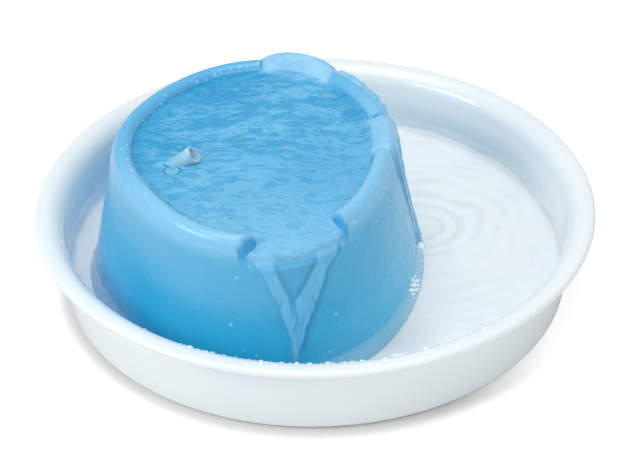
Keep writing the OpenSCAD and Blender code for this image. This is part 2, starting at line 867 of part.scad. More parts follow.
module carbon_fill() {
  color("#26282a")
    block(
      [filter_x0 + filter_wall, cavity_y0, floor_z + filter_wall],
      [fleece_x, cavity_y1, filter_top - filter_wall]
    );
}

bowl();
bowl_feet();
fountain_dome();
nozzle_grommet();
riser_hose();
nozzle();
pump_housing();
pump_back();
cord_gland();
suction_cups();
stator_core();
coil_bobbin();
coil_winding();
potting();
rear_bush();
rotor_shaft();
rotor_magnet();
impeller();
chamber_cover();
chamber_seal();
front_bush();
intake_cover();
intake_foam();
flow_dial();
filter_frame();
filter_grille();
filter_fleece();
carbon_fill();
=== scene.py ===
import json
import math

import bmesh
import bpy
import numpy as np
from mathutils import Matrix, Vector
from mathutils.bvhtree import BVHTree


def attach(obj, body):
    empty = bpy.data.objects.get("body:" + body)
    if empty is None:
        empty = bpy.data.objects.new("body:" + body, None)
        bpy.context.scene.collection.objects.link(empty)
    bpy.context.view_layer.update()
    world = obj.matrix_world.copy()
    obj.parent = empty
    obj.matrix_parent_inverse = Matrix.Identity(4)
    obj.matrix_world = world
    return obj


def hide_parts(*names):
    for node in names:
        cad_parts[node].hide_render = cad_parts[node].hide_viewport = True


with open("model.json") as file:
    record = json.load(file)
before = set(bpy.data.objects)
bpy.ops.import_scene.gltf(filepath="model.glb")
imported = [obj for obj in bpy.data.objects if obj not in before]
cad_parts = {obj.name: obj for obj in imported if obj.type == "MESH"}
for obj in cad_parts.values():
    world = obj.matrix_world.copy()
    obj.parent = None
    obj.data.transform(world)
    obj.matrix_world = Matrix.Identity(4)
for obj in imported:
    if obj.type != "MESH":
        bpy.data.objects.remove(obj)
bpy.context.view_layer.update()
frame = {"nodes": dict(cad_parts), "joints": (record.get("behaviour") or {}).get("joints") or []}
scene = bpy.context.scene
MM = 0.001

# ---- Sizes repeated from the part's source, in millimetres ----
BOWL_R, BOWL_H, BOWL_WALL = 150.0, 47.7, 2.5
LIP_OUT, LIP_EDGE, LIP_ROLL, SOFT_ROLL = 12.0, 3.0, 7.0, 10.0
BOWL_DRAFT, BOWL_CORNER = 0.055, 3.5
RING_H, RING_W, PAD_PROUD = 1.2, 9.0, 0.8
RIM_Z, RIM_MEAN = 91.0, 75.0
# The rim's oval, as waves on its mean radius: times round, cosine and sine part
RIM_WAVES = ((2, -7.8, 0), (3, -1.6, 1.2), (4, 1.3, 0))
BEAD_R, BEAD_STEP, DOME_DRAFT, SHELL, BASIN_DEEP = 5.0, 0.6, 0.2, 2.5, 19.0
FOOT_GAP, DOME_DIR = 5.0, math.radians(199)
SPILL_DEEP = 12.2
SPILLS = {"front": (-75.8, 18.0), "right": (6.9, 15.2), "back": (73.6, 15.6)}
INLETS, INLET_H, INLET_HALF = (60.0, 78.0, 96.0), 7.0, 4.5
CORD_ARCH, CORD_ARCH_H, CORD_ARCH_HALF = 114.0, 10.0, 3.5
GROMMET_HOLE_R, TUBE_R, TUBE_BORE = 7.0, 4.5, 3.2
STUB_UP, STUB_DOWN, BEND_R, MOUTH_TILT = 6.8, 10.0, 6.0, 30.0
MOUTH_TURN, MOUTH_LEN, MOUTH_FLARE = 8.0, 12.5, 0.8
FILTER_OFF, FILTER_W, FILTER_T = 26.0, 96.0, 15.0
GUIDE_H, GUIDE_WALL, GUIDE_FIT, GUIDE_BITE = 16.0, 2.0, 0.3, 5.0

FLOOR_UNDER = PAD_PROUD + RING_H
FLOOR_Z = FLOOR_UNDER + BOWL_WALL
LIP_UNDER = BOWL_H - LIP_EDGE
BASIN_Z = RIM_Z - BASIN_DEEP
BASIN_UNDER = BASIN_Z - SHELL
BEAD_Z = RIM_Z - BEAD_R
INNER_CORNER = BOWL_CORNER - 0.5

# Levels of the water in the basin and in the bowl
BASIN_LEVEL = 86.8
BOWL_LEVEL = 21.0


def bowl_out(z):
    return BOWL_R - LIP_OUT - (LIP_UNDER - z) * BOWL_DRAFT


def bowl_in(z):
    return bowl_out(z) - BOWL_WALL


# Centre line of the soft roll that the lip shows, where the solid's is tighter
SOFT_Z = BOWL_H - SOFT_ROLL
SOFT_R = bowl_in(SOFT_Z) + SOFT_ROLL


def wall_off(z):
    """How far the dome's wall stands out from the ridge."""
    return BEAD_R + BEAD_STEP + (BEAD_Z - z) * DOME_DRAFT


def belly(z):
    """How hollow the wall is, 0 at the foot and at the bead, 1 between them."""
    return np.sin(math.pi * np.clip((z - FLOOR_Z) / (BEAD_Z - FLOOR_Z), 0, 1))


def ridge(a):
    """Radius of the bead's ridge about the dome's middle."""
    return RIM_MEAN + sum(c * np.cos(n * a) + s * np.sin(n * a) for n, c, s in RIM_WAVES)


def ridge_slope(a):
    return sum(n * (s * np.cos(n * a) - c * np.sin(n * a)) for n, c, s in RIM_WAVES)


def ridge_out(a):
    r, s = ridge(a), ridge_slope(a)
    run_x = s * np.cos(a) - r * np.sin(a)
    run_y = s * np.sin(a) + r * np.cos(a)
    length = np.hypot(run_x, run_y)
    return run_y / length, -run_x / length


def rim_local(a, off):
    """Point at angle a about the dome's middle, moved out from the ridge by off."""
    out_x, out_y = ridge_out(a)
    return ridge(a) * np.cos(a) + off * out_x, ridge(a) * np.sin(a) + off * out_y


def dome_place():
    """Middle of the dome: as far along DOME_DIR as the bowl's floor lets its foot go."""
    reach = bowl_in(FLOOR_Z + INNER_CORNER) - INNER_CORNER - FOOT_GAP
    way = np.array([math.cos(DOME_DIR), math.sin(DOME_DIR)])
    x, y = rim_local(np.radians(np.arange(0, 360, 3.0)), wall_off(FLOOR_Z))
    ahead = x * way[0] + y * way[1]
    return np.min(-ahead + np.sqrt(ahead**2 + reach**2 - x**2 - y**2)) * way


DOME = dome_place()
NOZZLE_JOINT = next(j for j in frame["joints"] if j["name"] == "nozzle_swivel")
NOZZLE = np.array(NOZZLE_JOINT["pos_m"][:2]) / MM


def smooth(t):
    t = np.clip(t, 0, 1)
    return t * t * (3 - 2 * t)


def bell(x, width):
    return np.exp(-((x / width) ** 2))


def turn(a):
    return (a + 180) % 360 - 180


def within(deg, middle, half, edge):
    """1 around an angle, falling to 0 at half from it over edge degrees."""
    return smooth((half - np.abs(turn(deg - middle))) / edge)


def stations(*more):
    """Angles in degrees: every whole one, and these."""
    return np.unique(np.concatenate([np.arange(0, 360, 1.0), *more]).round(3))


def rim_point(a, off):
    x, y = rim_local(a, off)
    return DOME[0] + x, DOME[1] + y


# ---- Mesh helpers ----
def add_mesh(name, verts, faces, auto=None):
    """A smooth-shaded mesh from points in millimetres. Edges sharper than auto degrees stay sharp."""
    data = bpy.data.meshes.new(name)
    data.from_pydata((np.asarray(verts, float) * MM).tolist(), [], [list(f) for f in faces])
    data.validate()
    data.update()
    data.polygons.foreach_set("use_smooth", [True] * len(data.polygons))
    if auto is not None:
        data.set_sharp_from_angle(angle=math.radians(auto))
    bm = bmesh.new()
    bm.from_mesh(data)
    bmesh.ops.recalc_face_normals(bm, faces=bm.faces)
    bm.to_mesh(data)
    bm.free()
    obj = bpy.data.objects.new(name, data)
    scene.collection.objects.link(obj)
    return obj


def ring_faces(rows, cols, skip=None):
    """Faces between rows of points that go round. The last row meets the first; row skip stays open."""
    faces = []
    for i in range(rows):
        if i == skip:
            continue
        k = (i + 1) % rows
        for j in range(cols):
            n = (j + 1) % cols
            faces.append((i * cols + j, i * cols + n, k * cols + n, k * cols + j))
    return faces


def revolve(name, profile, steps, auto):
    """A closed body from a profile of (radius, z) points that starts and ends on the axis."""
    (_, first), *rings, (_, last) = profile
    t = np.linspace(0, 2 * math.pi, steps, endpoint=False)
    verts = [(0, 0, first)]
    verts += [(r * math.cos(x), r * math.sin(x), z) for r, z in rings for x in t]
    end = len(verts)
    around = [(j, (j + 1) % steps) for j in range(steps)]
    faces = [(0, 1 + j, 1 + k) for j, k in around]
    for start in range(1, end - steps, steps):
        faces += [(start + j, start + steps + j, start + steps + k, start + k) for j, k in around]
    faces += [(end - steps + j, end, end - steps + k) for j, k in around]
    return add_mesh(name, verts + [(0, 0, last)], faces, auto)


def keep_field(obj, name, values):
    """Numbers kept on a mesh's points, for its material."""
    field = obj.data.attributes.new(name, "FLOAT", "POINT")
    field.data.foreach_set("value", np.asarray(values, np.float32))


def masked_solid(name, top, bottom, cells, wrap, fields):
    """A closed solid between two grids of points [row][column], over the cells that are marked.

    With wrap, the last column meets the first. fields are grids of numbers, kept for the material.
    """
    rows, cols = top.shape[:2]
    count = rows * cols
    verts = np.concatenate([top.reshape(-1, 3), bottom.reshape(-1, 3)])
    faces = []

    def at(i, j):
        return i * cols + j % cols

    def on(i, j):
        if not wrap and not 0 <= j < cols - 1:
            return False
        return 0 <= i < rows - 1 and bool(cells[i, j % cols])

    for i in range(rows - 1):
        for j in range(cols if wrap else cols - 1):
            if not cells[i, j]:
                continue
            a, b, c, d = at(i, j), at(i, j + 1), at(i + 1, j + 1), at(i + 1, j)
            faces.append((a, d, c, b))
            faces.append((a + count, b + count, c + count, d + count))
            beside = (((i - 1, j), a, b), ((i + 1, j), c, d), ((i, j - 1), d, a), ((i, j + 1), b, c))
            faces += [(p, q, q + count, p + count) for cell, p, q in beside if not on(*cell)]
    used = np.unique([v for f in faces for v in f])
    place = np.full(2 * count, -1)
    place[used] = np.arange(len(used))
    obj = add_mesh(name, verts[used], [[place[v] for v in f] for f in faces])
    for key, grid in fields.items():
        keep_field(obj, key, np.concatenate([grid.reshape(-1)] * 2)[used])
    return obj


def arc(x, z, r, a0, a1, steps):
    around = np.radians(np.linspace(a0, a1, steps + 1))
    return [(x + r * math.cos(t), z + r * math.sin(t)) for t in around]


def value_noise(x, y, seed):
    """Smooth noise in -1..1 with a period of 64 cells, the same on every run."""
    table = np.random.RandomState(seed).rand(64, 64) * 2 - 1
    xi, yi = np.floor(x).astype(int), np.floor(y).astype(int)
    fx, fy = x - xi, y - yi
    fx, fy = fx * fx * (3 - 2 * fx), fy * fy * (3 - 2 * fy)
    xi, yi = xi % 64, yi % 64
    x1, y1 = (xi + 1) % 64, (yi + 1) % 64
    low = table[xi, yi] * (1 - fx) + table[x1, yi] * fx
    high = table[xi, y1] * (1 - fx) + table[x1, y1] * fx
    return low * (1 - fy) + high * fy


# ---- Material helpers ----
def rgb(code):
    parts = [int(code[i : i + 2], 16) / 255 for i in (1, 3, 5)]
    return tuple(c / 12.92 if c <= 0.04045 else ((c + 0.055) / 1.055) ** 2.4 for c in parts) + (1.0,)


class Value:
    """The output of a node, which can be added, subtracted and multiplied."""

    def __init__(self, nodes, socket):
        self.nodes, self.socket = nodes, socket

    def __mul__(self, other):
        return self.nodes.math("MULTIPLY", self, other)

    def __add__(self, other):
        return self.nodes.math("ADD", self, other)

    def __sub__(self, other):
        return self.nodes.math("SUBTRACT", self, other)

    def __rsub__(self, other):
        return self.nodes.math("SUBTRACT", other, self)

    def __abs__(self):
        return self.nodes.math("ABSOLUTE", self)

    __radd__ = __add__


class Nodes:
    """Adds nodes to one material, or to the world."""

    def __init__(self, name, owner=None, kind="Material"):
        self.owner = owner or bpy.data.materials.new(name)
        self.owner.use_nodes = True
        self.tree = self.owner.node_tree
        self.tree.nodes.clear()
        self.out = self.tree.nodes.new("ShaderNodeOutput" + kind)
        self.where = self.add("TexCoord", "Object")

    def plug(self, socket, value):
        if isinstance(value, Value):
            self.tree.links.new(value.socket, socket)
        else:
            socket.default_value = rgb(value) if isinstance(value, str) else value

    def add(self, kind, output=0, sockets=None, **settings):
        """Adds a node and gives one of its outputs."""
        n = self.tree.nodes.new("ShaderNode" + kind)
        for key, value in settings.items():
            setattr(n, key, value)
        for key, value in (sockets or {}).items():
            self.plug(n.inputs[key], value)
        return Value(self, n.outputs[output])

    def surface(self, shader):
        self.plug(self.out.inputs["Surface"], shader)
        return self.owner

    def scaled(self, scale, vector=None):
        return self.add("Mapping", 0, {"Vector": vector or self.where, "Scale": scale})

    def drifted(self, scale, amount):
        """The object's coordinates, pushed about by slow noise."""
        slow = self.add("TexNoise", "Color", {"Vector": self.where, "Scale": scale, "Detail": 1.0})
        push = {0: slow, 1: (amount,) * 3, 2: self.where}
        return self.add("VectorMath", 0, push, operation="MULTIPLY_ADD")

    def noise(self, scale, detail, rough, warp=0.0, vector=None):
        sockets = {"Scale": scale, "Detail": detail, "Roughness": rough, "Distortion": warp}
        return self.add("TexNoise", "Fac", {"Vector": vector or self.where, **sockets})

    def ramp(self, share, *stops):
        colour = self.add("ValToRGB", "Color", {"Fac": share})
        elements = colour.socket.node.color_ramp.elements
        while len(elements) < len(stops):
            elements.new(0.5)
        for element, (at, code) in zip(elements, stops):
            element.position, element.color = at, rgb(code)
        return colour

    def mix(self, share, a, b):
        # Inputs 6 and 7 and output 2 are the node's colours
        return self.add("Mix", 2, {0: share, 6: a, 7: b}, data_type="RGBA")

    def layers(self, colour, *coats):
        """Colours laid over the first one in turn, each by its share."""
        for share, coat in coats:
            colour = self.mix(share, colour, coat)
        return colour

    def math(self, how, *values):
        return self.add("Math", 0, dict(enumerate(values)), operation=how)

    def range(self, value, low, high, to_low=0.0, to_high=1.0):
        ends = {"From Min": low, "From Max": high, "To Min": to_low, "To Max": to_high}
        return self.add("MapRange", "Result", {"Value": value, **ends}, interpolation_type="SMOOTHSTEP")

    def band(self, value, middle, near, far, most=1.0):
        """A line where the value is at its middle: full up to near, and gone at far."""
        return self.range(abs(value - middle), near, far, most, 0.0)

    def field(self, name):
        return self.add("Attribute", "Fac", attribute_name=name)

    def distance(self, place):
        """Distance in metres from a point given in millimetres."""
        point = tuple(float(v) * MM for v in place)
        return self.add("VectorMath", 1, {0: self.where, 1: point}, operation="DISTANCE")

    def axes(self):
        return [self.add("SeparateXYZ", name, {"Vector": self.where}) for name in "XYZ"]

    def ray(self, *kinds):
        """1 for a ray of one of these kinds."""
        rays = [self.add("LightPath", f"Is {kind} Ray") for kind in kinds]
        return self.math("MAXIMUM", *rays) if len(rays) > 1 else rays[0]

    def blend(self, share, first, second):
        """The surface made of two shaders, the second by its share."""
        return self.surface(self.add("MixShader", 0, {0: share, 1: first, 2: second}))

    def bump(self, height, strength, distance):
        return self.add("Bump", 0, {"Height": height, "Strength": strength, "Distance": distance})

    def principled(self, **sockets):
        return self.add("BsdfPrincipled", 0, {k.replace("_", " "): v for k, v in sockets.items()})

    def finished(self, **sockets):
        return self.surface(self.principled(**sockets))

    def thinned(self, share, body):
        """The body by its share, and clear for the rest and for shadows."""
        return self.blend(share * (1.0 - self.ray("Shadow")), self.add("BsdfTransparent"), body)


def dress(obj, mat):
    obj.data.materials.clear()
    obj.data.materials.append(mat)


def moulded(name, light, dark, rough):
    """Moulded plastic or rubber: a slow change of colour, a fine skin and an uneven gloss."""
    m = Nodes(name)
    return m.finished(
        Base_Color=m.mix(m.range(m.noise(60, 3, 0.55), 0.3, 0.7), dark, light),
        Roughness=m.range(m.noise(138, 4, 0.6), 0.25, 0.75, rough * 0.85, rough * 1.15),
        Normal=m.bump(m.noise(900, 2, 0.6), 0.15, 0.00003),
    )


# ---- Camera, stage and light ----
VIEW_TILT, VIEW_ROLL, VIEW_DISTANCE, VIEW_AIM_Z = 0.6099, 0.0164, 1.1334, 0.030
FOCAL_PX, IMAGE_W, IMAGE_H, SENSOR = 2090.8, 639, 469, 36.0
AIM_PX = (315.37, 225.29)
STAGE_SIZE = 6.0


def make_camera():
    data = bpy.data.cameras.new("camera")
    data.sensor_width = SENSOR
    data.lens = FOCAL_PX / IMAGE_W * SENSOR
    data.shift_x = (IMAGE_W / 2 - AIM_PX[0]) / IMAGE_W
    data.shift_y = (AIM_PX[1] - IMAGE_H / 2) / IMAGE_W
    data.clip_start, data.clip_end = 0.05, 20
    cam = bpy.data.objects.new("camera", data)
    scene.collection.objects.link(cam)
    right = Vector((1, 0, 0))
    up = Vector((0, math.sin(VIEW_TILT), math.cos(VIEW_TILT)))
    back = Vector((0, -math.cos(VIEW_TILT), math.sin(VIEW_TILT)))
    c, s = math.cos(VIEW_ROLL), math.sin(VIEW_ROLL)
    right, up = right * c - up * s, up * c + right * s
    pose = Matrix((right, up, back)).transposed().to_4x4()
    pose.translation = back * VIEW_DISTANCE + Vector((0, 0, VIEW_AIM_Z))
    cam.matrix_world = pose
    scene.camera = cam


def make_stage():
    """A pale floor that keeps the object's shadow; to the camera it is near white, but for the nook."""
    size = STAGE_SIZE
    data = bpy.data.meshes.new("floor")
    corners = [(-size, -size, 0), (size, -size, 0), (size, size, 0), (-size, size, 0)]
    data.from_pydata(corners, [], [(0, 1, 2, 3)])
    floor = bpy.data.objects.new("floor", data)
    scene.collection.objects.link(floor)
    m = Nodes("stage_floor")
    # Painted shadow: to the camera the floor's glow is cut by ambient occlusion near the object, and kept
    # full again from x = 0.06 to 0.13 m rightwards
    nook = m.add("AmbientOcclusion", "AO", {"Distance": 0.014}, samples=12)
    lit = m.math("MAXIMUM", m.range(nook, 0.5, 1.0), m.range(m.axes()[0], 0.06, 0.13))
    base = m.add("BsdfDiffuse", 0, {"Color": (0.82, 0.81, 0.80, 1)})
    strength = m.ray("Camera", "Transmission") * (lit * 0.48)
    glow = m.add("Emission", 0, {"Color": (1, 1, 1, 1), "Strength": strength})
    data.materials.append(m.surface(m.add("AddShader", 0, {0: base, 1: glow})))


def soft_box(name, place, aim, width, height, power):
    data = bpy.data.lights.new(name, "AREA")
    data.shape = "RECTANGLE"
    data.size, data.size_y, data.energy = width, height, power
    lamp = bpy.data.objects.new(name, data)
    lamp.location = place
    lamp.rotation_euler = (Vector(aim) - Vector(place)).to_track_quat("-Z", "Y").to_euler()
    scene.collection.objects.link(lamp)


def make_light():
    world = bpy.data.worlds.new("world")
    m = Nodes("world", world, "World")
    room = m.add("Background", 0, {"Color": (0.97, 0.985, 1, 1), "Strength": 0.62})
    white = m.add("Background", 0, {"Color": (1, 1, 1, 1), "Strength": 1.0})
    m.blend(m.ray("Camera", "Transmission"), room, white)
    scene.world = world
    soft_box("top", (-0.10, 0.05, 1.25), (0, 0, 0.05), 1.0, 0.8, 6.0)
    soft_box("left", (-1.05, -0.45, 0.75), (-0.04, 0, 0.07), 0.7, 0.5, 5.2)
    soft_box("front", (0.45, -1.15, 0.65), (0, 0, 0.05), 1.0, 0.6, 3.0)


make_camera()
make_stage()
make_light()


# ---- Bowl ----
def make_bowl():
    roll_z = BOWL_H - LIP_ROLL
    roll_r = bowl_in(roll_z) + LIP_ROLL
    base_r = bowl_out(PAD_PROUD) - BOWL_CORNER
    ring_r = base_r - RING_W
    flat = bowl_in(FLOOR_Z + INNER_CORNER) - INNER_CORNER
    profile = (
        [(0, FLOOR_UNDER), (ring_r - 0.3, FLOOR_UNDER)]
        + [(ring_r + RING_H - 0.2, PAD_PROUD + 0.15), (ring_r + RING_H + 0.4, PAD_PROUD)]
        + arc(base_r, PAD_PROUD + BOWL_CORNER, BOWL_CORNER, -90, 0, 8)
        + [(bowl_out(z), z) for z in (10, 18, 26, 34)]
        + arc(roll_r, roll_z, LIP_ROLL - BOWL_WALL, 180, 90, 8)
        + [(BOWL_R - 1.0, LIP_UNDER - 0.15)]
        + arc(BOWL_R - 0.7, LIP_UNDER + 0.55, 0.7, -90, 0, 3)
        + arc(BOWL_R - LIP_EDGE + 0.6, LIP_UNDER + 0.6, LIP_EDGE - 0.6, 0, 90, 9)
        + arc(SOFT_R, SOFT_Z, SOFT_ROLL, 90, 180, 14)
        + [(bowl_in(z), z) for z in (34, 27, 20, 13)]
        + arc(flat, FLOOR_Z + INNER_CORNER, INNER_CORNER, 0, -90, 8)
        + [(r, FLOOR_Z) for r in (110, 80, 40, 0)]
    )
    parts = [revolve("bowl_body", profile, 256, 50)]
    # Two rails that hold the filter's ends
    x = DOME[0] + FILTER_OFF
    half = FILTER_T / 2 + GUIDE_FIT
    wide = half + GUIDE_WALL
    for side in (-1, 1):
        end = DOME[1] + side * FILTER_W / 2
        near, inner = end - side * GUIDE_BITE, end + side * GUIDE_FIT
        far = inner + side * GUIDE_WALL
        plan = [(x - wide, near), (x - wide, far), (x + wide, far), (x + wide, near)]
        plan += [(x + half, near), (x + half, inner), (x - half, inner), (x - half, near)]
        n = len(plan)
        verts = [(px, py, z) for z in (FLOOR_Z - 0.5, FLOOR_Z + GUIDE_H) for px, py in plan]
        faces = [(i, (i + 1) % n, n + (i + 1) % n, n + i) for i in range(n)]
        guide = add_mesh("guide", verts, faces + [tuple(range(n)), tuple(range(n, 2 * n))])
        soften(guide, 0.35, 2)
        parts.append(guide)
    return join(parts, "bowl_body")


def soften(obj, width, segments):
    """Rounds the sharp edges of a mesh."""
    bevel = obj.modifiers.new("bevel", "BEVEL")
    bevel.width, bevel.segments, bevel.limit_method = width * MM, segments, "ANGLE"
    bevel.angle_limit = math.radians(40)
    graph = bpy.context.evaluated_depsgraph_get()
    data = bpy.data.meshes.new_from_object(obj.evaluated_get(graph))
    obj.modifiers.clear()
    obj.data = data
    data.set_sharp_from_angle(angle=math.radians(40))


def join(objs, name):
    """One object from several, through plain mesh data."""
    verts, faces = [], []
    for o in objs:
        start = len(verts)
        verts += [tuple(o.matrix_world @ v.co) for v in o.data.vertices]
        faces += [[start + v for v in p.vertices] for p in o.data.polygons]
    for o in objs:
        bpy.data.objects.remove(o)
    return add_mesh(name, np.array(verts) / MM, faces, 40)


# Middle of the soft shade on the bowl's floor, in front of the dome's right side, in millimetres
FOOT_SHADE = (44.0, -76.0, 4.0)


def bowl_material():
    m = Nodes("bowl_gloss")
    x, y, z = m.axes()
    # Painted shade: the bowl is painted greyer towards its right side
    side = m.range(x, -0.15, 0.15)
    inside = m.range(m.add("VectorMath", 1, {0: m.scaled((1, 1, 0))}, operation="LENGTH"), 0.1356, 0.1345)
    wavy = z + (m.noise(34, 2, 0.5) - 0.5) * 0.016
    # Painted light: inside, the floor and low wall under the water are painted near white up to a wavy
    # edge, and so is the inner right
    right = m.range(x, 0.0, 0.12) * m.range(y, 0.09, 0.02)
    painted_light = m.math("MAXIMUM", m.range(wavy, 0.0115, 0.0085), right)
    # Painted shade: a grey-blue band on the inner back wall, just above the water
    back = m.range(wavy, 0.009, 0.012) * m.range(z, 0.038, 0.02) * m.range(y, 0.03, 0.09)
    # Painted shade and painted reflection: the inner left wall beside the dome is painted blue
    shaded = m.range(x, -0.085, -0.12) * m.range(wavy, 0.004, 0.010)
    # Painted shade: the lip's top is painted darker, most at the left where the light falls strongest
    lip = m.range(z, 0.036, 0.044) * (1.0 - side)
    colour = m.layers(
        m.mix(m.range(m.noise(7, 2, 0.5), 0.3, 0.7), "#E6EEF2", "#EDF3F5"),
        (side * 0.24, "#C9D6DE"),
        (inside * painted_light * 0.95, "#FAFCFD"),
        (inside * back * 0.7, "#BCD0DA"),
        (inside * shaded * 0.75, "#A6D6F6"),
        (m.range(m.distance(FOOT_SHADE), 0.026, 0.004, 0.0, 0.3), "#B4C6D2"),
        (lip * 0.4, "#D3DEE3"),
    )
    return m.finished(
        Base_Color=colour,
        Roughness=m.range(m.noise(40, 4, 0.6), 0.25, 0.75, 0.10, 0.17),
        Subsurface_Weight=0.12,
        Subsurface_Radius=(0.006, 0.007, 0.008),
        Subsurface_Scale=1.0,
        Coat_Weight=0.35,
        Coat_Roughness=0.06,
        Normal=m.bump(m.noise(900, 2, 0.5) + m.range(z, 0.0, 0.047), 0.06, 0.00003),
    )


bowl = make_bowl()
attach(bowl, "base")
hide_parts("bowl")
dress(bowl, bowl_material())


# ---- Dome ----
# Ends of the spillways in degrees: their slope, the longer one at the front's left, and how askew it is
RAMP, LONG_RAMP, BITE = 4.2, 5.6, 2.7
# Millimetres to a degree along the dome's wall
WALL_STEP = math.radians(1) * 88.0
# Openings in the wall's foot: angle, half width, height and how much lower it is at its ends
ARCHES = [(middle, INLET_HALF, INLET_H, 1.6) for middle in INLETS]
ARCHES += [(CORD_ARCH, CORD_ARCH_HALF, CORD_ARCH_H, 2.2)]
# Edges of the front stream's two legs: height, then angle, down the wall
LEFT_OUT = [(90, -95.2), (86, -94.6), (80.5, -92.4), (74, -88.6)]
LEFT_OUT += [(57.5, -84.6), (47.5, -83.0), (37.5, -81.8), (23, -81.6)]
LEFT_IN = [(78.5, -84.4), (69, -82.7), (55.5, -79.7)]
RIGHT_OUT = [(90, -57.8), (83, -59.4), (76.5, -63.2), (70.5, -67.8)]
RIGHT_OUT += [(56, -72.1), (42, -76.5), (24, -79.4)]
RIGHT_IN = [(78, -70.2), (74, -71.9), (65, -75.6), (55.5, -79.6)]


def along(points, z, column=1):
    table = sorted(points)
    return np.interp(z, [p[0] for p in table], [p[column] for p in table])


def stream_shade(d, z):
    """Painted shadow stripes on the wall along the front stream: right of it, and inside its two legs."""
    beside = (d - along(RIGHT_OUT, z)) * WALL_STEP
    inside = np.minimum(d - along(LEFT_IN, z), along(RIGHT_IN, z) - d) * WALL_STEP
    right = bell(beside - 0.6, 1.9) * smooth((88 - z) / 8) * smooth((z - 22) / 14)
    wedge = bell(inside - 0.9, 1.5) * smooth((79 - z) / 3) * smooth((z - 53) / 5)
    return np.maximum(right, 0.7 * wedge)


def spill_open(deg, early):
    """How far a spillway is open, 0 to 1: a steep scooped end, then level.

    The front one's left end slopes for longer, and starts early by some degrees.
    """
    best = np.zeros_like(deg)
    for name, (middle, half) in SPILLS.items():
        off = turn(deg - middle)
        long_end = (name == "front") & (off < 0)
        lead = np.where(long_end, early, 0.0)
        t = np.clip((half + lead - np.abs(off)) / np.where(long_end, LONG_RAMP, RAMP), 0, 1)
        scoop = np.sqrt(np.clip(1 - (1 - t) ** 2, 0, 1))
        share = np.where(long_end, 0.0, 0.65)
        best = np.maximum(best, (1 - share) * smooth(t) + share * scoop)
    return best


def dome_stations():
    more = [np.arange(-95, -54, 0.5) % 360]
    run = np.linspace(0, LONG_RAMP + 2 * BITE, 44)
    for side in (-1, 1):
        more += [(middle + side * (half + BITE - run)) % 360 for middle, half in SPILLS.values()]
        more += [middle + side * half + np.array([-0.04, 0.04]) for middle, half, _, _ in ARCHES]
    return stations(*more)


def foot_height(deg):
    """Lower edge of the wall, raised over the inlets and the cord's arch."""
    foot = np.full_like(deg, FLOOR_Z)
    for middle, half, height, lower in ARCHES:
        d = np.abs(turn(deg - middle)) / half
        foot = np.where(d < 1, FLOOR_Z + height - lower * d**4, foot)
    return foot


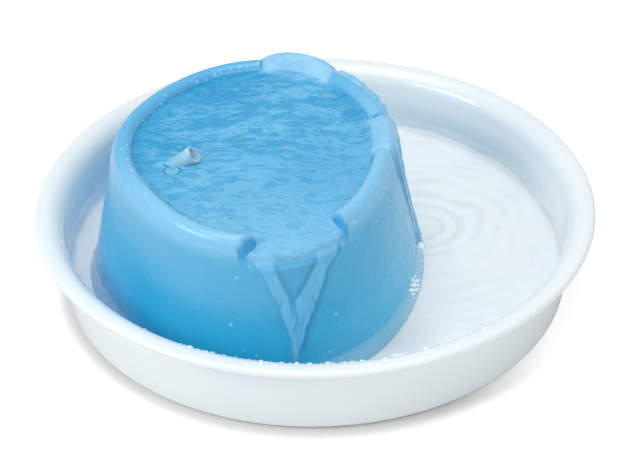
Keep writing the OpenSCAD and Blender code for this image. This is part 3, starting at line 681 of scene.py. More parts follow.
def make_dome():
    deg = dome_stations()
    a, cols = np.radians(deg), len(deg)
    opened = spill_open(deg, BITE)
    outer_z = BEAD_Z - SPILL_DEEP * opened
    foot = foot_height(deg)
    rows, open_rows = [], []

    def row(off, z):
        rows.append((off + 0 * deg, z + 0 * deg))

    def around(radius, phi, proud):
        """A row on the bead's section. The spillway's end is cut askew, so each opens in its own place."""
        open_row = spill_open(deg, BITE * math.cos(phi))
        drop = SPILL_DEEP * open_row
        step = proud * open_row * smooth(1 - phi / (math.pi / 2))
        row(drop * DOME_DRAFT + radius * math.cos(phi) + step, BEAD_Z - drop + radius * math.sin(phi))
        return open_row

    row(wall_off(foot) - 0.8, foot)
    row(wall_off(foot) - 0.25, foot + 0.25)
    row(wall_off(foot), foot + 0.9)
    for t in np.linspace(0.03, 1, 22):
        z = foot + 0.9 + (outer_z - 2.2 - foot - 0.9) * t
        row(wall_off(z) - 0.225 * belly(z), z)
    # Shallow groove under the bead, then the bead
    row(wall_off(outer_z - 1.0) - 0.28 * (1 - opened), outer_z - 1.1)
    bead_row = len(rows)
    for phi in np.radians(np.linspace(-4, 180, 22)):
        open_rows.append(around(BEAD_R, phi, BEAD_STEP))
    # Inner wall of the basin, and its rounded corner
    inner_z = BEAD_Z - SPILL_DEEP * open_rows[-1]
    for t in (0.25, 0.5, 0.75):
        row(-BEAD_R - 1.6 * t, inner_z + (BASIN_Z + 3.0 - inner_z) * t)
    for inward, up in ((1.7, 2.6), (2.0, 1.2), (2.7, 0.35), (3.8, 0)):
        row(-BEAD_R - inward, BASIN_Z + up)
    # The underside of the floor, the bead's inside and the wall's, down to the foot
    floor_row = len(rows) - 1
    row(-BEAD_R - 1.4, BASIN_UNDER)
    row(-BEAD_R - 0.7, BASIN_UNDER + 0.8)
    for phi in np.radians(np.linspace(180, 0, 9)):
        around(BEAD_R - SHELL, phi, 0.0)
    for t in (0.02, 0.5, 1):
        z = outer_z - 2 + (foot + 0.5 - outer_z + 2) * t
        row(wall_off(z) - SHELL, z)
    row(wall_off(foot) - SHELL + 0.5, foot)
    verts = np.concatenate([np.stack([*rim_point(a, off), z], 1) for off, z in rows])
    faces = ring_faces(len(rows), cols, floor_row)
    # The basin's floor: two sheets around the grommet's hole, and the hole's wall
    start = len(verts)
    for level, ring_row in ((BASIN_Z, floor_row), (BASIN_UNDER, floor_row + 1)):
        ring = verts[ring_row * cols : (ring_row + 1) * cols]
        way = np.arctan2(ring[:, 1] - NOZZLE[1], ring[:, 0] - NOZZLE[0])
        hole_x, hole_y = NOZZLE[0] + GROMMET_HOLE_R * np.cos(way), NOZZLE[1] + GROMMET_HOLE_R * np.sin(way)
        verts = np.concatenate([verts, np.stack([hole_x, hole_y, level + 0 * way], 1)])
    r0, r1 = floor_row * cols, (floor_row + 1) * cols
    for j in range(cols):
        n = (j + 1) % cols
        up, down = start + j, start + cols + j
        un, dn = start + n, start + cols + n
        faces += [(r0 + j, r0 + n, un, up), (up, un, dn, down), (down, dn, r1 + n, r1 + j)]
    dome = add_mesh("dome_shell", verts, faces, 35)
    # Painted shade: the colour is darker in the spillways' scooped ends, and along the front stream
    scoop, shade = np.zeros((2, len(verts)))
    for i, open_row in enumerate(open_rows + [open_rows[-1]] * 4, bead_row):
        ends = smooth(open_row / 0.3) * smooth((1 - open_row) / 0.06)
        scoop[i * cols : (i + 1) * cols] = ends * smooth((rows[i][1] - 77.5) / 5)
    for i in range(2, bead_row + 6):
        shade[i * cols : (i + 1) * cols] = stream_shade(turn(deg), rows[i][1])
    keep_field(dome, "scoop", scoop)
    keep_field(dome, "shade", shade)
    return dome


# How far below the bowl's water the dome's foot is painted a paler teal, a painted reflection of the
# water, in millimetres
UNDERWATER_SHEEN_DEPTH = 11.0


def dome_material():
    m = Nodes("dome_gloss")
    x, y, z = m.axes()
    # Painted shade: the wall is painted darker and a deeper blue towards its foot, where the bowl's lip
    # shades it, less so at the far left, and lighter on the right side
    low = m.range(z, 0.078, 0.022) * m.range(x, -0.135, -0.095, 0.6, 1.0)
    side = m.range(x, -0.06, 0.05)
    # Painted sheen: the dome's top with its bead is painted paler, most at the front and the right, and
    # not at the back
    light = m.range(x * 0.8 - y * 0.6, -0.09, -0.02) * m.range(y, 0.065, 0.0)
    # Painted light: the lower wall at the far left is painted lighter
    painted_flank_light = m.range(x, -0.085, -0.112) * m.range(z, 0.07, 0.045)
    # Painted reflection: below the bowl's water the dome's foot is painted a paler teal, on its right side
    underwater_sheen = m.range(z, BOWL_LEVEL * MM, (BOWL_LEVEL - UNDERWATER_SHEEN_DEPTH) * MM) * side
    colour = m.layers(
        m.mix(side, m.mix(low, "#4AA9D5", "#00ACDB"), m.mix(low, "#46ABD6", "#28B0DA")),
        (painted_flank_light * 0.8, "#66BFE8"),
        (m.range(z, 0.076, 0.087), m.mix(light, "#52ABD8", "#7DBFE3")),
        (underwater_sheen * 0.38, "#86D2E0"),
        # Painted shade in the scooped ends (scoop) and along the front stream (shade)
        (m.field("scoop"), "#2A97CD"),
        (m.field("shade"), "#128CC2"),
        (m.range(m.noise(22, 2, 0.5), 0.35, 0.65, 0.0, 0.12), "#62B9E2"),
    )
    return m.finished(
        Base_Color=colour,
        Roughness=m.range(m.noise(70, 4, 0.6), 0.25, 0.75, 0.22, 0.31),
        IOR=1.5,
        Coat_Weight=0.35,
        Coat_Roughness=0.24,
        Normal=m.bump(m.noise(1100, 2, 0.5), 0.05, 0.00002),
    )


dome = make_dome()
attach(dome, "dome")
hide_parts("fountain_dome")
dress(dome, dome_material())


# ---- Nozzle ----
def tube_path():
    """Middle line of the nozzle with its directions: up, round the bend, then out to the mouth."""
    bend, stub_top = math.radians(90 - MOUTH_TILT), BASIN_Z + STUB_UP
    line = [(0, z, 0) for z in np.linspace(BASIN_UNDER - STUB_DOWN, stub_top, 12)]
    for t in np.linspace(0, bend, 11)[1:]:
        line.append((BEND_R - BEND_R * math.cos(t), stub_top + BEND_R * math.sin(t), t))
    x, z, _ = line[-1]
    for s in np.linspace(0, MOUTH_LEN, 13)[1:]:
        line.append((x + s * math.sin(bend), z + s * math.cos(bend), bend))
    return [((x, z), (math.sin(t), math.cos(t))) for x, z, t in line]


# How far the mouth's cut leans towards the front, in millimetres at its edge
MOUTH_CUT = 1.5


def make_nozzle():
    path = tube_path()
    steps = 48
    t = np.linspace(0, 2 * math.pi, steps, endpoint=False)
    cos, sin = math.cos(math.radians(MOUTH_TURN)), math.sin(math.radians(MOUTH_TURN))
    outer, inner = [], []
    for i, (p, w) in enumerate(path):
        left, up = len(path) - 1 - i, p[1] - BASIN_Z
        at_mouth = smooth(1 - left / 5.0)
        flare = 0.3 * MOUTH_FLARE * at_mouth
        ragged = 0.12 + 0.45 * bell(up - 12.5, 2.0)
        lumps = ragged * value_noise(3 + 3.2 * np.cos(t) + 0.55 * i, 9 + 3.2 * np.sin(t), 5)
        wave = (0.35 * np.sin(2 * t + 0.6) + 0.3 * np.sin(5 * t + 1.1)) * (left == 0)
        wave = wave + MOUTH_CUT * (0.52 * np.cos(t) + 0.86 * np.sin(t)) * at_mouth
        waist = 0.6 * smooth((up - 8.0) / 4) * smooth((left - 0.5) / 6.0)
        squeeze = 1 + 0.05 * np.cos(2 * t) * smooth(1 - left / 7.0)
        straight = smooth((up - 2) / 6)
        for radius, ring in ((TUBE_R + flare - waist, outer), (TUBE_BORE + flare - 0.3 * waist, inner)):
            r = (radius + lumps * straight) * squeeze
            x = p[0] + wave * w[0] * 0.9 + r * np.cos(t) * w[1]
            z = p[1] + wave * w[1] * 0.9 - r * np.cos(t) * w[0]
            y = r * np.sin(t)
            ring.append(np.stack([NOZZLE[0] + x * cos - y * sin, NOZZLE[1] + x * sin + y * cos, z], 1))
    lip = [(outer[-1] + inner[-1]) / 2 + (outer[-1] - outer[-2]) * 0.18]
    heel = [(outer[0] + inner[0]) / 2 - np.array([0, 0, 0.15])]
    rings = outer + lip + inner[::-1] + heel
    return add_mesh("nozzle_tube", np.concatenate(rings), ring_faces(len(rings), steps), 60)


def nozzle_material():
    m = Nodes("nozzle_soft")
    slow = m.noise(140, 4, 0.6)
    colour = m.layers(
        m.ramp(slow, (0.3, "#8DBBD2"), (0.5, "#9FCAE0"), (0.75, "#ADD3E6")),
        (m.range(m.noise(420, 3, 0.6), 0.5, 0.8, 0, 0.35), "#9DC0CE"),
        (m.range(m.distance((*NOZZLE, BASIN_LEVEL)), 0.011, 0.004, 0.0, 0.75), "#74B5D6"),
    )
    return m.finished(
        Base_Color=colour,
        Roughness=m.range(slow, 0.3, 0.7, 0.38, 0.52),
        Subsurface_Weight=0.25,
        Subsurface_Radius=(0.004, 0.004, 0.004),
        Subsurface_Scale=1.0,
        Normal=m.bump(m.noise(600, 4, 0.6), 0.35, 0.0001),
    )


nozzle = make_nozzle()
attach(nozzle, "nozzle")
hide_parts("nozzle")
dress(nozzle, nozzle_material())


# ---- Water on the dome: the basin, the three spills and their streams, in one skin ----
# The right and back streams down the wall: height, then middle and half width in degrees
RIGHT_STREAM = [(90, 6.9, 15.5), (80, 6.9, 14.6), (70, 8.0, 11.0), (55, 9.5, 8.0)]
RIGHT_STREAM += [(40, 11.0, 6.0), (24, 12.5, 5.0), (10, 12.5, 5.0)]
BACK_STREAM = [(90, 73.6, 16.0), (80, 73.6, 14.8), (66, 74.0, 12.0)]
BACK_STREAM += [(50, 75.0, 10.0), (30, 76.0, 8.5), (10, 76.0, 8.5)]
# Water left where a stream is thinnest, how far its edge sinks into the wall, and where the streams end
SHEET, SHEET_EDGE, STREAM_END = 0.35, 0.5, 9.0
# A film thinner than this is left out
DRY = -0.45
# The crest of the spillways' water: its place, and how thick it is on top and where it has become a film
CREST_Z = BEAD_Z - SPILL_DEEP + BEAD_R
CREST_OFF = SPILL_DEEP * DOME_DRAFT
CREST_WATER, CREST_FILM = 4.2, 0.7
# Height of the water heaped up in the right and back spillways, at their ends and in their middle
BULGE_END, BULGE_MIDDLE = 90.1, {"right": 93.4, "back": 95.8}
# Where the basin's water ends, inside the bead's ridge
RIM_OFF = -BEAD_R - 1.5


def film(deg, z):
    """Thickness of the water on the dome's outside, in millimetres; below zero where it is dry."""
    d = turn(deg)
    left, right = (d - along(LEFT_OUT, z)) * WALL_STEP, (along(RIGHT_OUT, z) - d) * WALL_STEP
    low_part = smooth((72 - z) / 20)
    rag = 0.5 * value_noise(d * 0.35, z * 0.11, 11) + 0.3 * value_noise(d * 0.9, z * 0.25, 12)
    rag = rag * (0.3 + 0.7 * low_part)
    inner = np.maximum(along(LEFT_IN, z) - d, d - along(RIGHT_IN, z)) * WALL_STEP
    inner = np.maximum(inner, (55 - z) * 1.5) + rag * 0.5
    hollow = smooth((0.8 - inner) / 2.6) * smooth((79.2 - z) / 1.3)
    ropes = value_noise(d * 1.5 + 2.0 * value_noise(d * 0.4, z * 0.1, 13), z * 0.09, 14)
    body = 1.2 + 0.28 * ropes * (0.25 + bell(z - 52, 9) + 0.5 * low_part)
    body = body * (1 - hollow) + SHEET * hollow
    edge = np.minimum(smooth((left + rag + 0.6) / 3.0), smooth((right + rag + 0.6) / 1.8))
    best = edge * (body + SHEET_EDGE) - SHEET_EDGE
    for stream, seed in ((RIGHT_STREAM, 21), (BACK_STREAM, 22)):
        inside = (along(stream, z, 2) - np.abs(turn(d - along(stream, z, 1)))) * WALL_STEP
        inside = inside + 0.8 * value_noise(d * 0.3, z * 0.09, seed)
        inside = inside + 0.3 * value_noise(d, z * 0.3, seed + 5)
        ropes = 0.5 + 0.5 * np.sin(d * 1.7 + z * 0.06 + 2.5 * value_noise(d * 0.3, z * 0.07, seed + 9))
        body = 0.9 + 0.7 * bell(inside - 1.6, 1.3) + 0.7 * ropes
        best = np.maximum(best, smooth((inside + 0.8) / 1.6) * (body + SHEET_EDGE) - SHEET_EDGE)
    return best


def basin_waves(x, y, calm):
    """Small ripples that run across the picture, calmer around the nozzle."""
    warp = 2.2 * value_noise(x * 0.05, y * 0.08, 31)
    h = 0.55 * value_noise(x * 0.075 + warp * 0.3, y * 0.20 + warp, 32)
    h = h + 0.36 * value_noise(x * 0.14, y * 0.42 + 1.4 * warp, 33)
    h = h + 0.16 * value_noise(x * 0.30, y * 0.85 + warp, 34)
    return 0.40 * h * (1 - 0.7 * calm)


def spill_share(deg, names, inside, outside):
    """1 within the named spillways, falling to 0 between two angles measured from their ends."""
    share = np.zeros_like(deg)
    for middle, half in (SPILLS[name] for name in names):
        share = np.maximum(share, within(deg, middle, half + outside, outside - inside))
    return share


def bulge_top(deg):
    top = np.full_like(deg, BULGE_END)
    for name, height in BULGE_MIDDLE.items():
        middle, half = SPILLS[name]
        t = np.clip(np.abs(turn(deg - middle)) / half, 0, 1)
        top = np.maximum(top, BULGE_END + (height - BULGE_END) * (1 - t**2.6))
    return top


def basin_surface(deg, off):
    """Height of the basin's water: it sags towards the front spillway and heaps up at the others."""
    front = spill_share(deg, ("front",), -5, 7)
    others = spill_share(deg, BULGE_MIDDLE, -1, 7)
    run = np.clip((off + 34) / (34 + CREST_OFF), 0, 1) ** 2.2
    rise = smooth((off + 10.5) / (10.5 + CREST_OFF))
    level = BASIN_LEVEL - (BASIN_LEVEL - CREST_Z - CREST_WATER) * run * front
    return level + (bulge_top(deg) - BASIN_LEVEL) * rise * others


def make_dome_water():
    """One skin: the basin's rows from its middle out, over the bead or spillways, and down the wall."""
    more = [(np.arange(-half - 4, half + 4, 0.3) + middle) % 360 for middle, half in SPILLS.values()]
    deg = stations(*more)
    a = np.radians(deg)
    low_bead = BEAD_Z - SPILL_DEEP
    at_front = np.abs(turn(deg - SPILLS["front"][0])) < 40
    others = spill_share(deg, BULGE_MIDDLE, -3, 1)
    front = spill_share(deg, ("front",), -6, 0)
    tops, lows, shares = [], [], []

    def add(x, y, z, low_x, low_y, low_z, *share):
        """A row of the skin and of its underside, with its shares: pale, wall and deep."""
        tops.append(np.stack([DOME[0] + x, DOME[1] + y, z + 0 * x], 1))
        lows.append(np.stack([DOME[0] + low_x, DOME[1] + low_y, low_z + 0 * x], 1))
        shares.append([s + 0 * x for s in share])

    def from_nozzle(x, y, right, back):
        return np.hypot(DOME[0] + x - NOZZLE[0] - right, DOME[1] + y - NOZZLE[1] - back)

    def lead(off):
        """Water that is drawn to the front spillway is a little paler."""
        return 0.12 * smooth((off + 24) / 26) * front

    ex, ey = rim_local(a, RIM_OFF)
    for t in np.linspace(0.0001, 1, 60):
        x, y = ex * t, ey * t
        off = RIM_OFF - (1 - t) * np.hypot(ex, ey)
        calm = bell(from_nozzle(x, y, 4, 0), 24)
        edge = smooth((1 - t) / 0.05)
        z = basin_surface(deg, off) + basin_waves(x, y, calm) * (0.2 + 0.8 * edge) - 0.2 * calm
        # The jet from the nozzle's mouth presses the water down
        z = z - 1.3 * bell(from_nozzle(x, y, 13, 1), 6.0)
        heap = smooth((off + 9) / 7) * spill_share(deg, BULGE_MIDDLE, -2, 3)
        # Painted shade on the water along the bead, at the left and at the right
        left_rim = smooth((off - RIM_OFF + 13) / 13) * within(deg, 152, 78, 30)
        right_rim = smooth((off - RIM_OFF + 8) / 8) * within(deg, 42, 20, 8)
        rim_shade = np.maximum(left_rim, right_rim)
        add(x, y, z, x * 0.985, y * 0.985, BASIN_Z - 0.6, 0.6 * heap + lead(off), 0.0, rim_shade)
    basin_rows = len(tops)
    # From the basin's edge to the crest of the spillways
    for off in np.linspace(RIM_OFF, CREST_OFF, 11)[1:]:
        x, y = rim_local(a, off)
        z = basin_surface(deg, off)
        drop = SPILL_DEEP * spill_open(deg, BITE * max(off / BEAD_R, -1.0))
        hump = np.clip(BEAD_R**2 - (off - drop * DOME_DRAFT) ** 2, 0, None)
        surface = np.where(hump > 0, BEAD_Z - drop + np.sqrt(hump), BASIN_Z)
        low_z = np.minimum(surface - 1.0, z - 0.8)
        add(x, y, z, x, y, low_z, np.maximum(0.65 * others, lead(off)), 0.0, 0.0)
    crest = tops[-1][:, 2]
    # Over the bead: at the front the water hugs it, and at the right and the back it falls in an arc
    first = math.radians(80)
    for t in np.linspace(0.0625, 1, 16):
        phi = first * (1 - t)
        thin = film(deg, low_bead + BEAD_R * math.sin(phi))
        thick = CREST_FILM + (CREST_WATER - CREST_FILM) * (phi / first) ** 1.3
        full = smooth((math.degrees(phi) - 50) / 28)
        thick = thick * full + thin * (1 - full)
        step = BEAD_STEP * float(smooth(1 - phi / (math.pi / 2)))
        off_f = CREST_OFF + step + (BEAD_R + thick) * math.cos(phi)
        z_f = low_bead + (BEAD_R + thick) * math.sin(phi)
        lean = math.radians(90) * t
        wide = wall_off(low_bead) + film(deg, low_bead) - CREST_OFF
        off_b = CREST_OFF + wide * math.sin(lean) - 1.6 * (1 - others) * math.sin(2 * lean)
        z_b = crest - (crest - low_bead) * (1 - math.cos(lean))
        x, y = rim_local(a, np.where(at_front, off_f, off_b))
        drop = SPILL_DEEP * spill_open(deg, BITE * math.cos(phi))
        low_x, low_y = rim_local(a, drop * DOME_DRAFT + (BEAD_R - 1.0) * math.cos(phi))
        low_z = BEAD_Z - drop + (BEAD_R - 1.0) * math.sin(phi)
        light = 0.15 * full + smooth((thin - 0.25) / 1.1) * (1 - full) * (0.3 + 0.7 * t)
        z, pale = np.where(at_front, z_f, z_b), np.where(at_front, light, 0.65)
        add(x, y, z, low_x, low_y, low_z, pale, float(smooth((t - 0.15) / 0.6)), 0.0)
    arc_rows = len(tops)
    # Down the wall
    for z in np.linspace(low_bead - 0.6, STREAM_END, 64):
        thick = film(deg, z)
        lean = wall_off(z) - 0.2 * belly(z)
        x, y = rim_local(a, lean + thick)
        low_x, low_y = rim_local(a, lean - 1.0)
        add(x, y, z, low_x, low_y, z, smooth((thick - 0.25) / 1.1), 1.0, 0.0)
    top = np.array(tops)
    rows = len(top)
    # The skin is kept in the basin, in the spillways, and where it is wet on the wall below them
    near = spill_share(deg, SPILLS, 1.2, 1.6) > 0.5
    near |= np.abs(turn(deg - SPILLS["front"][0] + SPILLS["front"][1] + BITE / 2)) < BITE / 2 + 0.5
    cells = np.zeros((rows - 1, len(deg)), bool)
    cells[: basin_rows + 1] = True
    cells[basin_rows + 1 : arc_rows] = near[None, :]
    wall_near = spill_share(deg, SPILLS, 8, 9) > 0.5
    for i in range(arc_rows, rows - 1):
        live = (film(deg, top[i, :, 2]) > DRY) | (film(deg, top[i + 1, :, 2]) > DRY)
        cells[i] = (live | np.roll(live, -1)) & wall_near
    fields = dict(zip(("pale", "wall", "rim_shade"), np.array(shares).swapaxes(0, 1)))
    return masked_solid("dome_water", top, np.array(lows), cells, True, fields)


# Middle of the painted shade on the water at the right of the basin
RIGHT_WATER_SHADE = (12.0, -36.0, BASIN_LEVEL)
# The nozzle's stub as seen through the moving water, and the ring where the tube meets it: how far each
# lies from the nozzle's middle, and its radius
STUB_SEEN, STUB_R = (2.5, -8.1), 4.2
HEEL_SEEN, HEEL_R = (3.4, -0.6), 5.2


def dome_water_material():
    m = Nodes("water_on_dome")
    x, y, _ = m.axes()
    pale, wall, rim_shade = m.field("pale"), m.field("wall"), m.field("rim_shade")
    drift = m.drifted(14, 0.03)
    broad = m.noise(30, 2, 0.5, 0.5, drift)
    streak = m.noise(85, 3, 0.6, 0.9, m.scaled((0.8, 1.9, 1.0), drift))
    fine = m.noise(220, 2, 0.5, 0.8, m.scaled((0.65, 1.9, 1.0), drift))
    both = streak * 0.6 + fine * 0.4
    tone = both * 0.6 + broad * 0.4
    # Painted light and shade: the water is painted paler towards the front and darker at the back left
    front = m.range(x * 0.5 - y, -0.03, 0.08)
    rear = m.range(y, 0.005, 0.045) * m.range(x, 0.0, -0.045)
    # Painted light and shade on the ripples: pale thin creases, dark troughs and pale crests, from the
    # same noise as the bump
    crease, trough, crest = (
        m.band(both, at, 0, to) for at, to in ((0.51, 0.05), (0.44, 0.032), (0.565, 0.032))
    )
    stub_x, stub_y = NOZZLE + STUB_SEEN
    stub = m.distance((stub_x, stub_y, BASIN_LEVEL))
    outline = m.band(stub, STUB_R * MM, 0.0001, 0.0008) * m.range(abs(x - stub_x * MM), 0.001, 0.003)
    heel = m.band(m.distance((*(NOZZLE + HEEL_SEEN), BASIN_LEVEL)), HEEL_R * MM, 0.0002, 0.0010, 0.8)
    heel = heel * m.range(y, (NOZZLE[1] + 0.5) * MM, (NOZZLE[1] - 2.5) * MM)
    heel = heel * m.range(x, (NOZZLE[0] + 6) * MM, (NOZZLE[0] + 2) * MM)
    # The ramp of tone paints the ripples' light and dark as well
    basin = m.layers(
        m.ramp(tone, (0.38, "#2E99CB"), (0.46, "#43A2CF"), (0.53, "#54AAD5"), (0.62, "#6EBAE0")),
        (front * 0.48, "#86C6E6"),
        (rear * 0.5, "#2A98CC"),
        (m.range(m.distance(RIGHT_WATER_SHADE), 0.056, 0.014, 0.0, 0.36), "#2A98CC"),
        (rim_shade * 0.55, "#2A9CCE"),
        (crease * (front * 0.2), "#B4DFF3"),
        (trough * (0.58 - front * 0.48), "#168AC1"),
        (crest * (1.0 - rim_shade * 0.8) * (0.44 - front * 0.4), "#8FCDEB"),
        (m.range(stub, (STUB_R - 0.1) * MM, (STUB_R - 0.7) * MM, 0.0, 0.7), "#7DBBDA"),
        (outline * 0.9, "#0F76A6"),
        (heel, "#1A80AE"),
    )
    # pale paints the water paler where it runs to the front spillway, heaps up or streams thickly: partly
    # a painted sheen off the raised water, partly its froth
    colour = m.mix(wall, m.mix(pale * 0.8, basin, "#A9DAF2"), m.mix(pale, "#54AEDB", "#80D0F3"))
    body = m.principled(Base_Color=colour, Roughness=0.09, IOR=1.33, Normal=m.bump(both, 0.2, 0.001))
    return m.thinned(0.90 + wall * (-0.84 + pale * 0.62), body)


def make_bead_film():
    """Water that clings to the outer side of the bead between the back and the right spillway."""
    deg, phi = np.meshgrid(np.linspace(19, 62, 130), np.linspace(-28, 100, 30))
    ends = smooth((deg - 20.5) / 5) * smooth((60.5 - deg) / 3)
    across = smooth((phi + 24) / 26) * smooth((84 - phi) / 46)
    lumps = value_noise(deg * 0.35, phi * 0.03, 61)
    thick = (2.6 + 0.5 * lumps + 0.9 * smooth((deg - 40) / 18)) * ends * across - 0.4
    a, lean = np.radians(deg), np.radians(phi)
    sheets = []
    for extra in (thick, -1.0):
        r = BEAD_R + extra
        x, y = rim_point(a, r * np.cos(lean) + 0.5 * smooth(-phi / 20))
        sheets.append(np.stack([x, y, BEAD_Z + r * np.sin(lean)], 2))
    cells = np.ones((thick.shape[0] - 1, thick.shape[1] - 1), bool)
    fields = {"pale": 0.7 + 0.2 * lumps, "wall": np.ones_like(thick)}
    return masked_solid("bead_film", *sheets, cells, False, fields)


dome_water = make_dome_water()
water_look = dome_water_material()
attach(dome_water, "dome")
dress(dome_water, water_look)
bead_film = make_bead_film()
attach(bead_film, "dome")
dress(bead_film, water_look)


# ---- Water in the bowl ----
# Middle of the rings where the right spill lands, and from one ring to the next, in millimetres
RINGS_MIDDLE, RINGS_APART = np.array([62.0, 11.0]), 9.5


def make_bowl_water():
    """A disc of water on a polar grid about the middle of the rings."""
    reach = bowl_in(BOWL_LEVEL) + 0.6
    cols, rows = 240, 120
    t = np.linspace(0, 2 * math.pi, cols, endpoint=False)
    way = np.stack([np.cos(t), np.sin(t)])
    ahead = RINGS_MIDDLE @ way
    edge = -ahead + np.sqrt(ahead * ahead + reach * reach - RINGS_MIDDLE @ RINGS_MIDDLE)
    tops, lows, rings = [], [], []
    for s in np.linspace(0.00002, 1, rows):
        r = edge * s
        x, y = RINGS_MIDDLE[:, None] + r * way
        fade = np.exp(-r / 42.0) * smooth((1 - s) / 0.06)
        swirl = r + 7.0 * value_noise(x * 0.028, y * 0.035, 41) + 2.0 * np.sin(t + 0.7)
        ring = np.sin(swirl * 2 * math.pi / RINGS_APART) * fade
        z = BOWL_LEVEL + 0.20 * ring * smooth(r / 8) + 0.12 * value_noise(x * 0.05, y * 0.07, 42)
        tops.append(np.stack([x, y, z], 1))
        drifts = value_noise(x * 0.05, y * 0.075, 43) + 0.5 * value_noise(x * 0.11, y * 0.16, 44)
        # Painted light and shade: the colour's rings follow the ripples as pale and grey-blue bands
        rings.append(smooth(0.25 + 0.9 * ring * (0.6 + 0.5 * drifts) + 0.22 * drifts) * smooth(r / 5))
        shrink = np.minimum(1.0, (bowl_in(FLOOR_Z) + 1.0) / np.maximum(np.hypot(x, y), 1))
        lows.append(np.stack([x * shrink, y * shrink, FLOOR_Z - 0.4 + 0 * z], 1))
    cells = np.ones((rows - 1, cols), bool)
    fields = {"ring": np.array(rings)}
    return masked_solid("bowl_water", np.array(tops), np.array(lows), cells, True, fields)


def bowl_water_material():
    m = Nodes("water_in_bowl")
    tint = (0.99, 0.995, 1.0, 1)
    # The rings in the colour are painted light and shade along the ripples
    glass = m.principled(
        Base_Color=m.mix(m.field("ring"), tint, "#E4EDF3"),
        Roughness=0.0,
        IOR=1.33,
        Transmission_Weight=0.9,
        Normal=m.bump(m.noise(55, 3, 0.55, 0.8), 0.10, 0.0008),
    )
    # Clear to the lamps and to light that comes off the bowl, so that the floor under it stays bright
    clear = m.add("BsdfTransparent", 0, {"Color": tint})
    return m.blend(m.ray("Shadow", "Diffuse"), glass, clear)


bowl_water = make_bowl_water()
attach(bowl_water, "base")
dress(bowl_water, bowl_water_material())


# ---- Drops, bubbles and foam ----
# Drops that the photograph shows: its x and y in pixels, and the drop's radius in millimetres
WALL_DROPS = [
    (237, 278, 1.0), (231, 325, 1.0), (336, 314, 1.0), (351, 271, 0.8), (364, 272, 0.8), (362, 286, 0.5),
    (345, 322, 0.5), (330, 352, 0.8), (245, 351, 0.6), (257, 356, 0.6), (237, 355, 0.5), (369, 257, 0.5),
    (363, 242, 0.5), (357, 237, 0.7), (352, 240, 0.8), (354, 222, 1.8), (359, 206, 0.7), (367, 202, 1.0),
    (370, 217, 0.9), (362, 217, 0.5), (374, 278, 0.6), (379, 184, 1.4), (391, 202, 1.5), (381, 194, 0.6),
    (376, 222, 1.2), (371, 210, 0.7), (397, 233, 0.9), (237, 256, 0.8), (341, 361, 1.3), (386, 244, 0.6),
]
BEAD_DROPS = [
    (215, 75, 1.3), (240, 67, 1.3), (247, 67, 0.8), (231, 70, 0.9), (221, 73, 0.7), (207, 80, 0.8),
    (197, 82, 1.1), (192, 81, 0.7), (166, 95, 1.0), (161, 104, 0.9), (163, 100, 0.7), (154, 112, 0.8),
    (150, 113, 0.6), (144, 121, 1.1), (134, 140, 0.8), (122, 149, 1.1), (127, 159, 1.0), (132, 170, 1.2),
    (146, 195, 1.5), (138, 193, 0.6), (186, 218, 1.5), (194, 222, 0.8), (165, 207, 0.7), (220, 230, 1.1),
    (258, 63, 1.1), (226, 62, 0.7), (212, 70, 0.6), (174, 89, 0.6), (344, 70, 0.8), (349, 73, 1.1),
    (353, 78, 0.7), (358, 80, 1.2), (362, 86, 0.9), (368, 85, 0.7), (365, 92, 1.0), (372, 93, 1.1),
    (373, 98, 0.7), (378, 101, 0.9),
]
# Foam and bubbles on the bowl's water, in the same way
FOAM = [
    (412, 280, 1.3), (416, 281, 1.1), (410, 285, 1.1), (414, 285, 1.4), (418, 285, 1.0), (412, 290, 1.2),
    (416, 290, 1.0), (413, 294, 0.9), (409, 280, 0.8), (419, 280, 0.7), (415, 276, 0.7), (410, 290, 0.8),
    (418, 289, 0.7), (408, 284, 0.6), (414, 298, 0.5), (421, 246, 2.3), (415, 248, 0.9), (425, 224, 0.9),
]


def sight(px, py):
    """The camera's line of sight through a point of the photograph."""
    pose = scene.camera.matrix_world
    way = Vector(((px - AIM_PX[0]) / FOCAL_PX, (AIM_PX[1] - py) / FOCAL_PX, -1.0))
    return pose.translation, (pose.to_3x3() @ way).normalized()


def make_drops(name, places, flat, seed):
    """Flattened drops, each a closed cap sunk a little into what it sits on.

    places holds a point, a normal and a radius for each drop.
    """
    rng = np.random.RandomState(seed)
    verts, faces = [], []
    rings, steps, sunk = 5, 14, 0.25
    for spot, normal, radius in places:
        spot, normal = np.array(spot) / MM, np.array(normal)
        down = np.array([0, 0, -1.0]) + normal * normal[2]
        steep = np.linalg.norm(down)
        down = down / steep if steep > 0.05 else np.array([1.0, 0, 0])
        side = np.cross(normal, down)
        stretch = 1 + 0.35 * rng.rand() * (1 - normal[2])
        phase, lobes = rng.rand() * 6.28, 0.06 + 0.08 * rng.rand()
        start = len(verts)
        for k in range(rings):
            lift = math.radians(90 * k / rings)
            for j in range(steps):
                t = 2 * math.pi * j / steps
                r = radius * math.cos(lift) * (1 + lobes * math.sin(2 * t + phase))
                base = spot + down * r * math.cos(t) * stretch + side * r * math.sin(t)
                verts.append(base + normal * (radius * flat * math.sin(lift) - (sunk if k == 0 else 0)))
        verts += [spot + normal * radius * flat, spot - normal * 0.3]
        top, under = len(verts) - 2, len(verts) - 1
        last = top - steps
        for j in range(steps):
            n = (j + 1) % steps
            for low in range(start, last, steps):
                faces.append((low + j, low + n, low + n + steps, low + j + steps))
            faces += [(last + j, last + n, top), (start + n, start + j, under)]
    return add_mesh(name, np.array(verts), faces, 60)


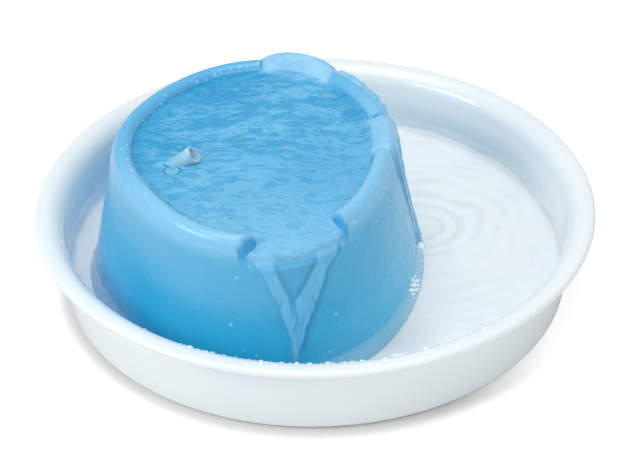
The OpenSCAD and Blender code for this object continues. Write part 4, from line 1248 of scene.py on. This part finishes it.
def glint(name, colour, least, most, edge, white, glow=0.0):
    """Clear water with a pale body; its share and its colour run from the middle to the edge, where the
    edge colour is a painted rim. glow makes the body shine as a painted light.
    """
    m = Nodes(name)
    facing = m.add("LayerWeight", "Facing", {"Blend": 0.4})
    flecked = m.mix(m.noise(900, 2, 0.5) * white, colour, "#FFFFFF")
    body = m.principled(
        Base_Color=m.mix(m.range(facing, 0.4, 0.65), flecked, edge),
        Roughness=0.04,
        IOR=1.33,
        Emission_Color=colour,
        Emission_Strength=glow,
    )
    return m.thinned(m.range(facing, 0.0, 1.0, least, most), body)


# Loose drops besides: how many, from which height to which, and their smallest and largest radius
LOOSE_DROPS = ((46, 24, 80, 0.3, 0.85), (80, 87, 90.5, 0.3, 0.9))


def drops_on_dome():
    points = [v.co.copy() for v in dome.data.vertices]
    tree = BVHTree.FromPolygons(points, [list(p.vertices) for p in dome.data.polygons])
    places = []

    def place(start, way, radius):
        spot, normal = tree.ray_cast(start, way)[:2]
        if spot:
            places.append((spot, normal, radius))

    for px, py, radius in WALL_DROPS + BEAD_DROPS:
        place(*sight(px, py), radius)
    rng = np.random.RandomState(3)
    for count, low, high, small, big in LOOSE_DROPS:
        for _ in range(count):
            deg, z, radius = rng.uniform(-50, 215), rng.uniform(low, high), rng.uniform(small, big)
            outside, rim = (Vector((*rim_point(math.radians(deg), off), z)) * MM for off in (60.0, 0.0))
            place(outside, (rim - outside).normalized(), radius)
    return make_drops("drops_on_dome", places, 0.45, 5)


# Drops on the lip: all of them, and those of them that stand along its front
LIP_DROPS, FRONT_DROPS = 74, 44


def drops_on_lip():
    rng = np.random.RandomState(8)
    places = []
    for i in range(LIP_DROPS):
        front = i < FRONT_DROPS
        deg = rng.uniform(-118, -62) if front else rng.uniform(-180, 180)
        roll = math.radians(rng.normal(124, 2.5) if front else rng.uniform(95, 165))
        radius = rng.uniform(0.35, 0.8) + 0.8 * rng.rand() ** 4
        way = np.array([math.cos(math.radians(deg)), math.sin(math.radians(deg))])
        out = SOFT_R + SOFT_ROLL * math.cos(roll)
        spot = np.array([*(way * out), SOFT_Z + SOFT_ROLL * math.sin(roll)]) * MM
        places.append((spot, (*(way * math.cos(roll)), math.sin(roll)), radius))
    return make_drops("drops_on_lip", places, 0.6, 9)


def foam_on_water():
    places = []
    for px, py, radius in FOAM:
        start, way = sight(px, py)
        far = (BOWL_LEVEL * MM - start.z) / way.z
        places.append((start + way * far, (0, 0, 1.0), radius))
    return make_drops("foam_on_water", places, 1.0, 11)


dome_drops = drops_on_dome()
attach(dome_drops, "dome")
dress(dome_drops, glint("drop_on_dome", "#86D2F6", 0.48, 0.14, "#7CCBF2", 0.1, 0.16))
lip_drops = drops_on_lip()
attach(lip_drops, "base")
dress(lip_drops, glint("drop_on_lip", "#EAF4F8", 0.55, 0.9, "#EAF4F8", 0.6))
foam = foam_on_water()
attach(foam, "base")
dress(foam, glint("foam_bubbles", "#FFFFFF", 0.5, 0.95, "#2F6075", 0.5, 0.1))


# ---- Finishes of the remaining CAD nodes ----
CAD_FINISHES = {
    "bowl_feet": ("pad_grey", "#A9AEB2", "#9AA0A5", 0.65),
    "nozzle_grommet": ("grommet_blue", "#8FC0DA", "#7DB2D0", 0.45),
    "riser_hose": ("hose_clear", "#D9E2E2", "#C7D3D5", 0.35),
    "pump_housing": ("pump_black", "#24272B", "#1C1F22", 0.48),
    "pump_back": ("pump_back_black", "#26292D", "#1E2124", 0.5),
    "cord_gland": ("gland_black", "#1B1C1F", "#151619", 0.7),
    "suction_cups": ("cup_black", "#222428", "#191A1D", 0.55),
    "chamber_cover": ("cover_dark", "#2B3036", "#23272C", 0.4),
    "intake_cover": ("intake_dark", "#2A2F35", "#22262B", 0.42),
    "flow_dial": ("dial_blue", "#6F8FA6", "#5F8098", 0.35),
    "impeller": ("impeller_white", "#D2DAE0", "#C2CCD4", 0.3),
    "filter_frame": ("filter_white", "#E2E8EC", "#D6DEE4", 0.35),
    "filter_grille": ("grille_white", "#E0E7EB", "#D3DCE2", 0.35),
    "coil_bobbin": ("bobbin_cream", "#D8CFB8", "#C9BFA6", 0.45),
    "potting": ("resin_black", "#16181B", "#101214", 0.2),
    "rear_bush": ("bush_black", "#1C1D20", "#16171A", 0.6),
    "front_bush": ("bush_front_black", "#1C1D20", "#16171A", 0.6),
    "chamber_seal": ("seal_black", "#1A1B1E", "#141518", 0.55),
    "rotor_shaft": ("shaft_white", "#E6E3DA", "#DAD6CB", 0.2),
    "rotor_magnet": ("magnet_dark", "#2E3135", "#222428", 0.5),
}
for node_name, (mat_name, light, dark, rough) in CAD_FINISHES.items():
    dress(frame["nodes"][node_name], moulded(mat_name, light, dark, rough))


def banded(name, dark, light, across, scale, warp, metallic, rough, strength, depth):
    """Fine parallel ridges, of stacked sheets or wound wire."""
    m = Nodes(name)
    wave = {"Vector": m.where, "Scale": scale, "Distortion": warp}
    bands = m.add("TexWave", "Fac", wave, bands_direction=across)
    return m.finished(
        Base_Color=m.mix(bands, dark, light),
        Metallic=metallic,
        Roughness=rough,
        Normal=m.bump(bands, strength, depth),
    )


def cellular(name, light, dark, scale, depth, rough):
    """Open cells or packed grains."""
    m = Nodes(name)
    cells = m.add("TexVoronoi", "Distance", {"Vector": m.where, "Scale": scale})
    colour = m.mix(m.range(cells, 0.1, 0.6), dark, light)
    return m.finished(Base_Color=colour, Roughness=rough, Normal=m.bump(cells, 0.9, depth))


def felted():
    m = Nodes("fleece_white")
    fibre = m.noise(260, 6, 0.7, 2.5)
    return m.finished(
        Base_Color=m.mix(m.range(fibre, 0.35, 0.65), "#CFCFC4", "#ECECE4"),
        Roughness=0.95,
        Sheen_Weight=0.3,
        Normal=m.bump(fibre, 0.8, 0.0006),
    )


laminations = banded("stator_laminations", "#6E7277", "#9A9DA1", "Z", 320.0, 0.15, 1.0, 0.36, 0.4, 0.0001)
copper = banded("winding_copper", "#7A3512", "#C9713A", "X", 420.0, 0.3, 0.8, 0.3, 0.8, 0.0002)
for node_name, look in {
    "stator_core": laminations,
    "coil_winding": copper,
    "intake_foam": cellular("foam_black", "#3A3D42", "#0E0F11", 900.0, 0.0006, 0.95),
    "carbon_fill": cellular("carbon_grains", "#2A2A2C", "#0A0A0B", 620.0, 0.0008, 0.6),
    "filter_fleece": felted(),
}.items():
    dress(frame["nodes"][node_name], look)

scene.view_settings.view_transform = "Standard"
